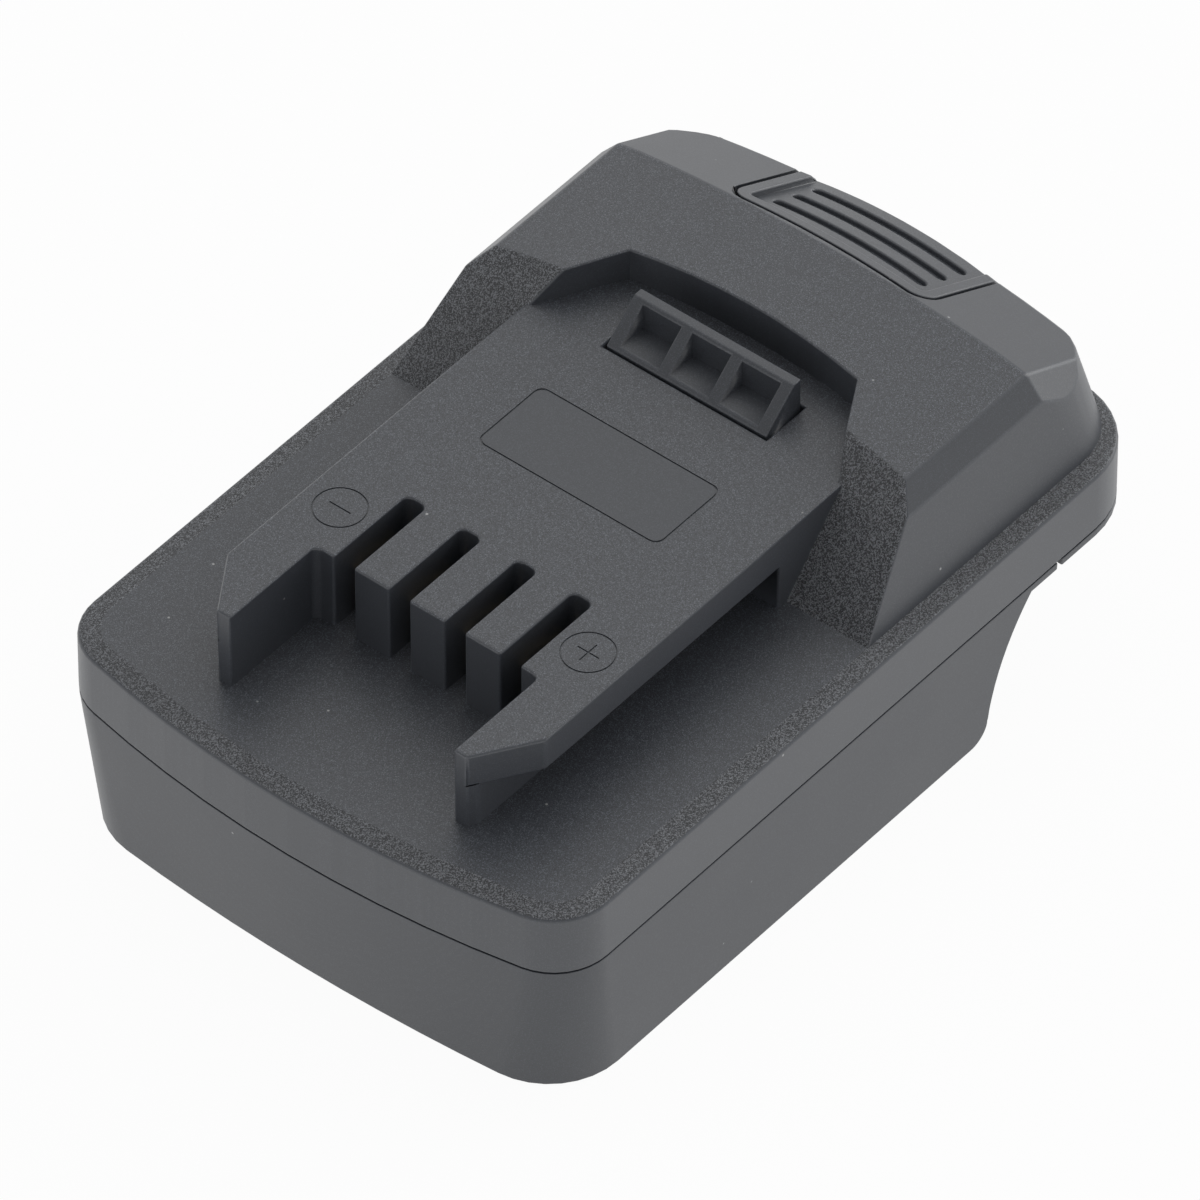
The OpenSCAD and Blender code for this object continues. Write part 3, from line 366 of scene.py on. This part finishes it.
def tube(name, path, side, radius, sides):
    """A round tube: p + radius (cos b u + sin b v) round each point p, with u across the run and v square to both."""
    run = np.gradient(path, axis=0)
    run /= np.linalg.norm(run, axis=1)[:, None]
    u = side - (side * run).sum(1)[:, None] * run
    u /= np.linalg.norm(u, axis=1)[:, None]
    v = np.cross(run, u)
    b = np.linspace(0.0, 2.0 * np.pi, sides, endpoint=False)
    across = np.cos(b)[None, :, None] * u[:, None, :] + np.sin(b)[None, :, None] * v[:, None, :]
    rings = path[:, None, :] + radius * across
    n = len(path)
    i, k = np.meshgrid(np.arange(n - 1), np.arange(sides), indexing="ij")
    j = (k + 1) % sides
    quads = np.stack([i * sides + k, i * sides + j, (i + 1) * sides + j, (i + 1) * sides + k], -1).reshape(-1, 4)
    caps = [list(range(sides))[::-1], list(range((n - 1) * sides, n * sides))]
    mesh = bpy.data.meshes.new(name)
    mesh.from_pydata(rings.reshape(-1, 3).tolist(), [], quads.tolist() + caps)
    mesh.polygons.foreach_set("use_smooth", [True] * len(quads) + [False, False])
    obj = bpy.data.objects.new(name, mesh)
    bpy.context.scene.collection.objects.link(obj)
    return obj


def dress_node(name, material, width):
    """Gives a CAD node its finish, and rounds its corners with modifiers alone."""
    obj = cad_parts[name]
    obj.data.materials.clear()
    obj.data.materials.append(material)
    weld = obj.modifiers.new("Join corners", "WELD")
    weld.merge_threshold = 2e-6
    flat = obj.modifiers.new("Join flats", "DECIMATE")
    flat.decimate_type = "DISSOLVE"
    flat.angle_limit = radians(0.5)
    bevel = obj.modifiers.new("Rounds", "BEVEL")
    bevel.limit_method = "ANGLE"
    bevel.angle_limit = radians(50)
    bevel.width = width * MM
    bevel.segments = 2
    bevel.harden_normals = False
    shading = obj.modifiers.new("Face shading", "WEIGHTED_NORMAL")
    shading.keep_sharp = True


def stand_in(obj, node, body):
    """Puts a piece under the empty of its body and hides the CAD node that it stands in for."""
    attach(obj, body)
    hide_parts(node)


# Settings
def length(name, text, default):
    return bpy.props.FloatProperty(
        name=name, description=text, default=default, min=0.0, subtype="DISTANCE", unit="LENGTH", precision=5)


def colour(name, text, default):
    return bpy.props.FloatVectorProperty(
        name=name, description=text, default=default, size=3, min=0.0, max=1.0, subtype="COLOR")


def turn(name, text, default):
    return bpy.props.FloatProperty(
        name=name, description=text, default=default, subtype="ANGLE", unit="ROTATION")


def power(name, text, default):
    return bpy.props.FloatProperty(name=name, description=text, default=default, min=0.0, unit="POWER")


def share(name, text, default):
    return bpy.props.FloatProperty(name=name, description=text, default=default, min=0.0, max=4.0, subtype="FACTOR")


class AdapterFinishes(bpy.types.PropertyGroup):
    """Colours and grain of the adapter"""
    case_colour: colour("Case", "Colour of both mouldings", (0.050, 0.055, 0.065))
    latch_colour: colour("Latch", "Colour of the catch and button", (0.050, 0.055, 0.065))
    sheen: share("Sheen", "Strength of the mirror part of the plastic", 0.85)
    # Edge lift: how much lighter the rounded edges are painted, as a highlight, besides being rubbed smoother.
    edge_highlight_lift: share("Edge lift", "How much lighter the rubbed edges are", 1.15)
    grain_size: length("Grain size", "Width of the coarse grain", 0.000125)
    grain_height: length("Grain height", "Depth of the coarse grain", 0.00005)
    fine_size: length("Fine grain size", "Width of the fine grain", 0.00013)
    # Pits: how dark the coarse grain's pits are painted, as shade.
    pit_shade: share("Pits", "Brightness of the pits of the coarse grain", 0.4)
    # Flecks: colour of the painted highlight on the peaks of the coarse grain.
    peak_highlight: colour("Flecks", "Colour of the peaks of the coarse grain", (0.195, 0.205, 0.225))
    # Glints: strength of the painted glints in the fine grain.
    painted_glint: share("Glints", "Extra brightness of the sparse glints in the fine grain", 1.7)
    dust: share("Dust", "Strength of the sparse pale specks", 0.7)
    steel: colour("Steel", "Colour of the screws and springs", (0.62, 0.62, 0.64))
    brass: colour("Brass", "Colour of the contacts and blades", (0.36, 0.28, 0.15))
    nylon: colour("Nylon", "Colour of the insulating blocks", (0.030, 0.030, 0.033))
    board: colour("Board", "Colour of the circuit board", (0.015, 0.11, 0.05))
    red: colour("Positive lead", "Colour of the positive lead", (0.42, 0.02, 0.02))
    black: colour("Negative lead", "Colour of the negative lead", (0.015, 0.015, 0.016))
    yellow: colour("Signal lead", "Colour of the signal lead", (0.55, 0.38, 0.02))


class AdapterRounds(bpy.types.PropertyGroup):
    """Radii of the rounded edges"""
    skirt: length("Skirt", "Round along the top of the skirt", 0.0005)
    rail: length("Rail", "Round along the rail, prongs and teeth", 0.00035)
    hump: length("Hump", "Round along the edges of the hump", 0.0003)
    crease: length("Crease", "Round along the crease above the button", 0.0003)
    wing: length("Wings", "Round along the wings and the recess", 0.0003)
    small: length("Small edges", "Round along windows, slots and grooves", 0.0002)
    button: length("Button", "Round along the rim of the button", 0.00025)
    foot: length("Foot", "Round along the edge that the case stands on", 0.00025)
    inner: length("Inner pieces", "Round along the edges of the inner pieces", 0.0001)


class AdapterStage(bpy.types.PropertyGroup):
    """Camera, lights and floor"""
    azimuth: turn("Azimuth", "Camera angle round the part", radians(39.51))
    elevation: turn("Elevation", "Camera angle above the floor", radians(44.83))
    distance: length("Distance", "Distance of the camera", 2.010)
    aim_right: length("Aim right", "Shift of the aim to the right", 0.001892)
    aim_up: length("Aim up", "Shift of the aim upwards", 0.009461)
    lens: bpy.props.FloatProperty(
        name="Lens", description="Focal length in mm on a 36 mm sensor", default=512.5, min=1.0)
    key: power("Overhead light", "Power of the overhead soft light", 12.0)
    rear: power("Rear light", "Power of the low soft light behind the part", 7.0)
    horizon: share("Horizon", "Brightness of the surroundings at the horizon", 1.0)
    middle: share("Middle", "Brightness of the surroundings 17 degrees up", 0.65)
    zenith: share("Zenith", "Brightness of the surroundings from 31 degrees up", 0.36)
    floor: colour("Floor", "Colour of the floor", (0.93, 0.93, 0.93))


# Operators
class ADAPTER_OT_stage(bpy.types.Operator):
    """Sets up the floor, the soft lights, the white surroundings and the camera"""
    bl_idname = "adapter.stage"
    bl_label = "Stage"

    def execute(self, context):
        s = context.scene.adapter_stage
        scene = context.scene
        scene.view_settings.view_transform = "Standard"
        back = Vector((sin(s.azimuth) * cos(s.elevation), -cos(s.azimuth) * cos(s.elevation), sin(s.elevation)))
        right = Vector((cos(s.azimuth), sin(s.azimuth), 0.0))
        up = back.cross(right)
        eye = back * s.distance - right * s.aim_right - up * s.aim_up + Vector((0.0, AIM_Y, DECK * MM))
        lens = bpy.data.cameras.new("Camera")
        lens.lens = s.lens
        lens.sensor_width = SENSOR
        lens.clip_start = 0.05
        lens.clip_end = 50.0
        camera = bpy.data.objects.new("Camera", lens)
        camera.matrix_world = Matrix((
            (right.x, up.x, back.x, eye.x), (right.y, up.y, back.y, eye.y),
            (right.z, up.z, back.z, eye.z), (0, 0, 0, 1)))
        scene.collection.objects.link(camera)
        scene.camera = camera
        self.floor(s)
        self.world(s)
        self.lamp("Overhead", OVERHEAD_PLACE, (0.0, 0.0, 0.0), OVERHEAD_SIZE, s.key)
        self.lamp("Rear", REAR_PLACE, REAR_AIM, REAR_SIZE, s.rear)
        return {"FINISHED"}

    def lamp(self, name, place, aim, size, power):
        light = bpy.data.lights.new(name, "AREA")
        light.shape = "SQUARE"
        light.size = size
        light.energy = power
        obj = bpy.data.objects.new(name, light)
        obj.location = place
        obj.rotation_euler = (Vector(aim) - Vector(place)).to_track_quat("-Z", "Y").to_euler()
        bpy.context.scene.collection.objects.link(obj)

    def floor(self, s):
        """A flat square grid at the floor, 6 m across."""
        a = np.linspace(-FLOOR_HALF, FLOOR_HALF, 5)
        x, y = np.meshgrid(a, a)
        points = np.stack([x, y, np.zeros_like(x)], -1).reshape(-1, 3)
        i = (np.arange(4)[:, None] * 5 + np.arange(4)[None, :]).reshape(-1)
        mesh = bpy.data.meshes.new("Floor")
        mesh.from_pydata(points.tolist(), [], np.stack([i, i + 1, i + 6, i + 5], -1).tolist())
        obj = bpy.data.objects.new("Floor", mesh)
        bpy.context.scene.collection.objects.link(obj)
        paint = bpy.data.materials.new("floor_paper")
        paint.use_nodes = True
        nodes, links = paint.node_tree.nodes, paint.node_tree.links
        nodes.clear()
        out = nodes.new("ShaderNodeOutputMaterial")
        paper = nodes.new("ShaderNodeBsdfDiffuse")
        paper.inputs["Color"].default_value = (*s.floor, 1.0)
        white = nodes.new("ShaderNodeEmission")
        white.inputs["Strength"].default_value = 1.0
        mix = nodes.new("ShaderNodeMixShader")
        links.new(self.seen(nodes, links, FLOOR_WHITE), mix.inputs["Fac"])
        links.new(paper.outputs[0], mix.inputs[1])
        links.new(white.outputs[0], mix.inputs[2])
        links.new(mix.outputs[0], out.inputs["Surface"])
        mesh.materials.append(paint)

    def seen(self, nodes, links, amount):
        """The given amount for camera, glossy and transmission rays, and 0 for the rest."""
        path = nodes.new("ShaderNodeLightPath")
        total = None
        for key in ("Is Camera Ray", "Is Glossy Ray", "Is Transmission Ray"):
            if total is None:
                total = path.outputs[key]
                continue
            add = nodes.new("ShaderNodeMath")
            add.operation = "MAXIMUM"
            links.new(total, add.inputs[0])
            links.new(path.outputs[key], add.inputs[1])
            total = add.outputs[0]
        scale = nodes.new("ShaderNodeMath")
        scale.operation = "MULTIPLY"
        links.new(total, scale.inputs[0])
        scale.inputs[1].default_value = amount
        return scale.outputs[0]

    def world(self, s):
        """Surroundings that are white at the horizon and darker upwards, by the height of the direction."""
        world = bpy.data.worlds.new("Surroundings")
        world.use_nodes = True
        nodes, links = world.node_tree.nodes, world.node_tree.links
        light = nodes["Background"]
        ray = nodes.new("ShaderNodeTexCoord")
        split = nodes.new("ShaderNodeSeparateXYZ")
        ramp = nodes.new("ShaderNodeValToRGB")
        stops = ramp.color_ramp.elements
        stops.new(0.3)
        stops[2].position = 0.52
        for stop, level in zip(stops, (s.horizon, s.middle, s.zenith)):
            stop.color = (level, level, level, 1.0)
        links.new(ray.outputs["Generated"], split.inputs[0])
        links.new(split.outputs["Z"], ramp.inputs["Fac"])
        links.new(ramp.outputs["Color"], light.inputs["Color"])
        bpy.context.scene.world = world


class ADAPTER_OT_cover(bpy.types.Operator):
    """Rounds the top cover and gives each of its faces the moulded grain that it has"""
    bl_idname = "adapter.cover"
    bl_label = "Top cover"

    def execute(self, context):
        look, r = context.scene.adapter_finishes, context.scene.adapter_rounds
        obj = merged_copy("top_cover", "cover_moulding", self.crowded, 0.45)
        index, middle, na, nb, bend = edge_table(obj.data)
        out = na + nb
        out /= np.maximum(np.linalg.norm(out, axis=1), 1e-9)[:, None]
        x, y, z = np.abs(middle[:, 0]), middle[:, 1], middle[:, 2]
        flat = np.minimum(na[:, 2], nb[:, 2])
        steep = np.maximum(na[:, 2], nb[:, 2])
        convex = bend > 16.0
        free = np.zeros(len(index), bool)
        free[convex] = in_the_open(obj, middle[convex], out[convex])
        width = np.where(convex, r.rail, 0.0)
        hump = (y > WING_Y) & (z > DECK + 0.5)
        width = np.where(convex & hump, r.wing, width)
        width = np.where(convex & hump & (z > RAIL + 0.3) & (y > 26.0) & (x > 16.4), r.hump, width)
        crease = convex & (np.abs(y - CREASE_Y) < 0.05) & (z > RAIL + 2.0)
        width = np.where(crease, np.where(x > 17.0, r.crease, r.small * 0.6), width)
        notch = convex & (x < NOTCH_X) & (y > CREASE_Y + 0.15) & (z > DECK + 6.0)
        width = np.where(notch, r.small * 0.6, width)
        prong_foot = (np.abs(z - FLANGE) < 0.1) & (y < TIP_Y + 2.0)
        prong_side = (y < TIP_Y + 0.5) & (x > PRONG_X) & (np.abs(flat) < 0.3) & (steep < 0.3)
        width = np.where(prong_foot | prong_side, 0.0, width)
        width = np.where(convex & (np.abs(z - SKIRT_TOP) < 0.05), r.skirt, width)
        width = np.where(convex & (z < PARTING + 0.05), r.small, width)
        engraved = (np.abs(z - RAIL) < 0.3) & (flat < 0.5) & self.mark_zone(x, y)
        width = np.where(engraved | ~free, 0.0, width)
        corner_step = (np.abs(bend) < 20.0) & (flat < 0.9)
        sharp = (width == 0.0) & (np.abs(bend) > 5.0) & ~corner_step
        face_mid = numbers(obj.data.polygons, "center", 3) / MM
        face_out = numbers(obj.data.polygons, "normal", 3)
        set_grain(obj, *self.grain(face_mid, face_out))
        rail_top = (face_out[:, 2] > 0.999) & (np.abs(face_mid[:, 2] - RAIL) < 0.02)
        prong_tip = (face_out[:, 1] < -0.99) & (face_mid[:, 1] < TIP_Y + 0.2)
        skin_finish(obj, index, width / MM, sharp, *case_finishes(look), rail_top | prong_tip)
        stand_in(obj, "top_cover", "case")
        return {"FINISHED"}

    def crowded(self, x, y, z):
        """True at the ends of the crease and at the rear corners of the hump, where short edges meet."""
        crease_end = (np.abs(x - 31.05) < 0.3) & (np.abs(y - CREASE_Y + 0.1) < 0.4) & (z > RAIL)
        rear_corner = (y > 48.0) & (x > 24.0) & (z > DECK + 7.5)
        return crease_end | rear_corner

    def mark_zone(self, x, y):
        """True over the polarity rings and the outlined field, with 0.4 mm to spare."""
        ring = np.hypot(x - RING_X, y - RING_Y) < RING_REACH
        field = (x < FIELD_X + 0.4) & (y > FIELD_FRONT_Y - 0.4) & (y < FIELD_REAR_Y + 0.4)
        return ring | field

    def grain(self, mid, out):
        """Coarse grain on the band and wings, fine grain with painted glints on deck, rail and crown, little on the
        field and walls.
        """
        x, y, z = np.abs(mid[:, 0]), mid[:, 1], mid[:, 2]
        band = (out[:, 2] > 0.9) & (z < DECK - 0.02) & (z > DECK - 0.5)
        wing = (out[:, 1] < -0.5) & (out[:, 2] > 0.5)
        level = (out[:, 2] > 0.9) & (z > DECK - 0.1)
        field = (x < FIELD_X - 0.2) & (y > FIELD_FRONT_Y + 0.2) & (y < FIELD_REAR_Y - 0.2)
        field &= np.abs(z - RAIL) < 0.05
        fine_grain_and_glint = np.where(level, 1.0, 0.25)
        fine_grain_and_glint = np.where(field, 0.3, fine_grain_and_glint)
        return np.where(band | wing, 1.0, 0.0), np.where(band | wing, 0.0, fine_grain_and_glint)


class ADAPTER_OT_shell(bpy.types.Operator):
    """Rounds the lower shell"""
    bl_idname = "adapter.shell"
    bl_label = "Lower shell"

    def execute(self, context):
        look, r = context.scene.adapter_finishes, context.scene.adapter_rounds
        obj = merged_copy("bottom_shell", "shell_moulding")
        index, middle, na, nb, bend = edge_table(obj.data)
        z = middle[:, 2]
        convex = bend > 30.0
        level = np.maximum(np.abs(na[:, 2]), np.abs(nb[:, 2]))
        width = np.where(convex & (z < PARTING - 0.5), r.small, 0.0)
        width = np.where(convex & ((z < 0.05) | (z < 6.0) & (middle[:, 1] > 15.0)), r.foot, width)
        width = np.where(convex & (np.abs(z - (PARTING - 0.2)) < 0.05), r.small * 0.6, width)
        corner_step = (np.abs(bend) < 20.0) & (level < 0.9)
        sharp = (width == 0.0) & (np.abs(bend) > 5.0) & ~corner_step
        set_grain(obj, 0.0, 0.25)
        # The lower shell's colour is painted 8% darker than the cover's, as shade, and its mirror part is weaker.
        main = moulded_plastic("grained_shell", look.case_colour, look, 0.92, 0.4, 0.76)
        skin_finish(obj, index, width / MM, sharp, main, case_finishes(look)[1])
        stand_in(obj, "bottom_shell", "case")
        return {"FINISHED"}


class ADAPTER_OT_latch(bpy.types.Operator):
    """Rounds the catch and the ribbed button, which move together"""
    bl_idname = "adapter.latch"
    bl_label = "Catch and button"

    def execute(self, context):
        look, r = context.scene.adapter_finishes, context.scene.adapter_rounds
        main = moulded_plastic("grained_latch", look.latch_colour, look)
        # The rounded edges of the latch are rubbed smoother and painted lighter, as a highlight.
        edge = moulded_plastic("rubbed_highlit_latch", look.latch_colour, look, look.edge_highlight_lift, 0.36)
        for node, name, rim in (
                ("latch_slider", "catch_moulding", r.small), ("release_button", "button_moulding", r.button)):
            obj = merged_copy(node, name)
            index, middle, na, nb, bend = edge_table(obj.data)
            out = na + nb
            out /= np.maximum(np.linalg.norm(out, axis=1), 1e-9)[:, None]
            convex = bend > 22.0
            free = np.zeros(len(index), bool)
            free[convex] = in_the_open(obj, middle[convex], out[convex])
            width = np.where(convex & free, rim, 0.0)
            if node == "release_button":
                dish = (np.abs(middle[:, 0]) < 13.6) & (middle[:, 1] > 41.8) & (middle[:, 1] < 57.0)
                groove = (np.abs(middle[:, 0]) < 11.8) & (middle[:, 1] > 43.6) & (middle[:, 1] < 56.6)
                width = np.where((width > 0.0) & dish, r.button * 1.3, width)
                width = np.where((width > 0.0) & groove, r.small * 1.4, width)
                width = np.where(middle[:, 2] < SKIRT_TOP - 0.8, 0.0, width)
            corner_step = np.abs(bend) < 20.0
            sharp = (width == 0.0) & (np.abs(bend) > 5.0) & ~corner_step
            set_grain(obj, 0.0, 0.4)
            skin_finish(obj, index, width / MM, sharp, main, edge)
            stand_in(obj, node, "latch")
        return {"FINISHED"}


class ADAPTER_OT_springs(bpy.types.Operator):
    """Winds the two coil springs under the catch"""
    bl_idname = "adapter.springs"
    bl_label = "Springs"

    def execute(self, context):
        look = context.scene.adapter_finishes
        wire = drawn_metal("drawn_spring", look.steel, 2200.0, (1.0, 1.0, 0.2), 0.3)
        for node in ("latch_spring_left", "latch_spring_right"):
            low, high = (np.array(v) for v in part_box(node))
            centre = (low + high) / 2
            obj = self.coil(node.replace("latch_spring", "coil"), centre, low[2], high[2])
            obj.data.materials.append(wire)
            stand_in(obj, node, "case")
            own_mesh(obj)
        return {"FINISHED"}

    def coil(self, name, centre, low, high):
        """Helix of six turns: x = R cos a, y = R sin a, and z rises evenly with a from end to end."""
        wire = 0.00045
        a = np.linspace(0.0, 12.0 * np.pi, 6 * 28 + 1)
        mean = 0.0033
        z = low + wire + (high - low - 2.0 * wire) * a / a[-1]
        path = np.stack([centre[0] + mean * np.cos(a), centre[1] + mean * np.sin(a), z], -1)
        across = np.stack([np.cos(a), np.sin(a), np.zeros_like(a)], -1)
        return tube(name, path, across, wire, 12)


class ADAPTER_OT_contacts(bpy.types.Operator):
    """Gives the fork clips and the blades their brass"""
    bl_idname = "adapter.contacts"
    bl_label = "Contacts and blades"

    def execute(self, context):
        look, r = context.scene.adapter_finishes, context.scene.adapter_rounds
        brass = drawn_metal("plated_contact", look.brass, 1800.0, (1.0, 0.15, 1.0), 0.3)
        for node in (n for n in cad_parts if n.startswith(("contact_", "blade_")) and n != "contact_carrier"):
            dress_node(node, brass, r.inner / MM * 0.8)
        return {"FINISHED"}


class ADAPTER_OT_insulators(bpy.types.Operator):
    """Finishes the contact carrier and the terminal block"""
    bl_idname = "adapter.insulators"
    bl_label = "Insulating blocks"

    def execute(self, context):
        look, r = context.scene.adapter_finishes, context.scene.adapter_rounds
        nylon = plain_moulding("block_nylon", look.nylon, 0.5)
        for node in ("contact_carrier", "terminal_block"):
            dress_node(node, nylon, r.inner / MM * 2.0)
        return {"FINISHED"}


class ADAPTER_OT_board(bpy.types.Operator):
    """Finishes the circuit board and the parts on it"""
    bl_idname = "adapter.board"
    bl_label = "Circuit board"

    def execute(self, context):
        look, r = context.scene.adapter_finishes, context.scene.adapter_rounds
        dress_node("circuit_board", solder_mask("lacquered_board", look.board), r.inner / MM)
        chips = plain_moulding("chip_body", look.nylon, 0.42, 3200.0)
        for node in ("power_transistor", "chip_resistors"):
            dress_node(node, chips, r.inner / MM)
        return {"FINISHED"}


class ADAPTER_OT_leads(bpy.types.Operator):
    """Lays the three leads from the blades to the board"""
    bl_idname = "adapter.leads"
    bl_label = "Leads"

    def execute(self, context):
        look = context.scene.adapter_finishes
        for node, slot, paint in (
                ("wire_positive", "red_lead", look.red), ("wire_negative", "black_lead", look.black),
                ("wire_signal", "yellow_lead", look.yellow)):
            low, high = (np.array(v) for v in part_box(node))
            obj = self.lead(node.replace("wire", "lead"), low, high)
            obj.data.materials.append(plain_moulding(slot.replace("lead", "jacket"), paint, 0.4, 1800.0))
            stand_in(obj, node, "case")
        return {"FINISHED"}

    def lead(self, name, low, high):
        """Up, a quarter turn, level, a quarter turn and down: turns of radius b at (y - b cos a, z + b sin a)."""
        wire = (high[0] - low[0]) / 2
        x = (low[0] + high[0]) / 2
        first, last = low[1] + wire, high[1] - wire
        b = 0.00185
        z = high[2] - wire - b
        a = np.linspace(0.0, np.pi / 2, 13)
        y0, z0 = first + b - b * np.cos(a), z + b * np.sin(a)
        y1, z1 = last - b - b * np.cos(a + np.pi / 2), z + b * np.sin(a + np.pi / 2)
        y = np.concatenate(([first], y0, y1))
        h = np.concatenate(([low[2]], z0, z1))
        path = np.stack([np.full_like(y, x), y, h], -1)
        across = np.tile([1.0, 0.0, 0.0], (len(path), 1))
        return tube(name, path, across, wire, 16)


class ADAPTER_OT_screws(bpy.types.Operator):
    """Finishes all screws in zinc-plated steel"""
    bl_idname = "adapter.screws"
    bl_label = "Screws"

    def execute(self, context):
        look, r = context.scene.adapter_finishes, context.scene.adapter_rounds
        zinc = drawn_metal("zinc_screw", look.steel, 1500.0, (1.0, 1.0, 1.0), 0.34)
        for node in ("case_screws", "button_screws", "board_screws", "terminal_block_screws"):
            dress_node(node, zinc, r.inner / MM)
        return {"FINISHED"}


class ADAPTER_PT_parts(bpy.types.Panel):
    """Lists the settings and the steps that dress the adapter"""
    bl_idname = "ADAPTER_PT_parts"
    bl_label = "Battery adapter"
    bl_space_type = "VIEW_3D"
    bl_region_type = "UI"
    bl_category = "Adapter"

    def draw(self, context):
        for group in (context.scene.adapter_finishes, context.scene.adapter_rounds, context.scene.adapter_stage):
            box = self.layout.box()
            for key in group.__annotations__:
                box.prop(group, key)
        for step in STEPS:
            self.layout.operator(step.bl_idname)


GROUPS = {"adapter_finishes": AdapterFinishes, "adapter_rounds": AdapterRounds, "adapter_stage": AdapterStage}
STEPS = (
    ADAPTER_OT_stage, ADAPTER_OT_cover, ADAPTER_OT_shell, ADAPTER_OT_latch, ADAPTER_OT_springs, ADAPTER_OT_contacts,
    ADAPTER_OT_insulators, ADAPTER_OT_board, ADAPTER_OT_leads, ADAPTER_OT_screws,
)


def register():
    for group in GROUPS.values():
        bpy.utils.register_class(group)
    for key, group in GROUPS.items():
        setattr(bpy.types.Scene, key, bpy.props.PointerProperty(type=group))
    for kind in (*STEPS, ADAPTER_PT_parts):
        bpy.utils.register_class(kind)


def unregister():
    for kind in (ADAPTER_PT_parts, *reversed(STEPS)):
        bpy.utils.unregister_class(kind)
    for key, group in GROUPS.items():
        delattr(bpy.types.Scene, key)
        bpy.utils.unregister_class(group)


def main():
    """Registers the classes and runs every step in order."""
    register()
    bpy.ops.adapter.stage()
    bpy.ops.adapter.cover()
    bpy.ops.adapter.shell()
    bpy.ops.adapter.latch()
    bpy.ops.adapter.springs()
    bpy.ops.adapter.contacts()
    bpy.ops.adapter.insulators()
    bpy.ops.adapter.board()
    bpy.ops.adapter.leads()
    bpy.ops.adapter.screws()
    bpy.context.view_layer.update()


if __name__ == "__main__":
    main()
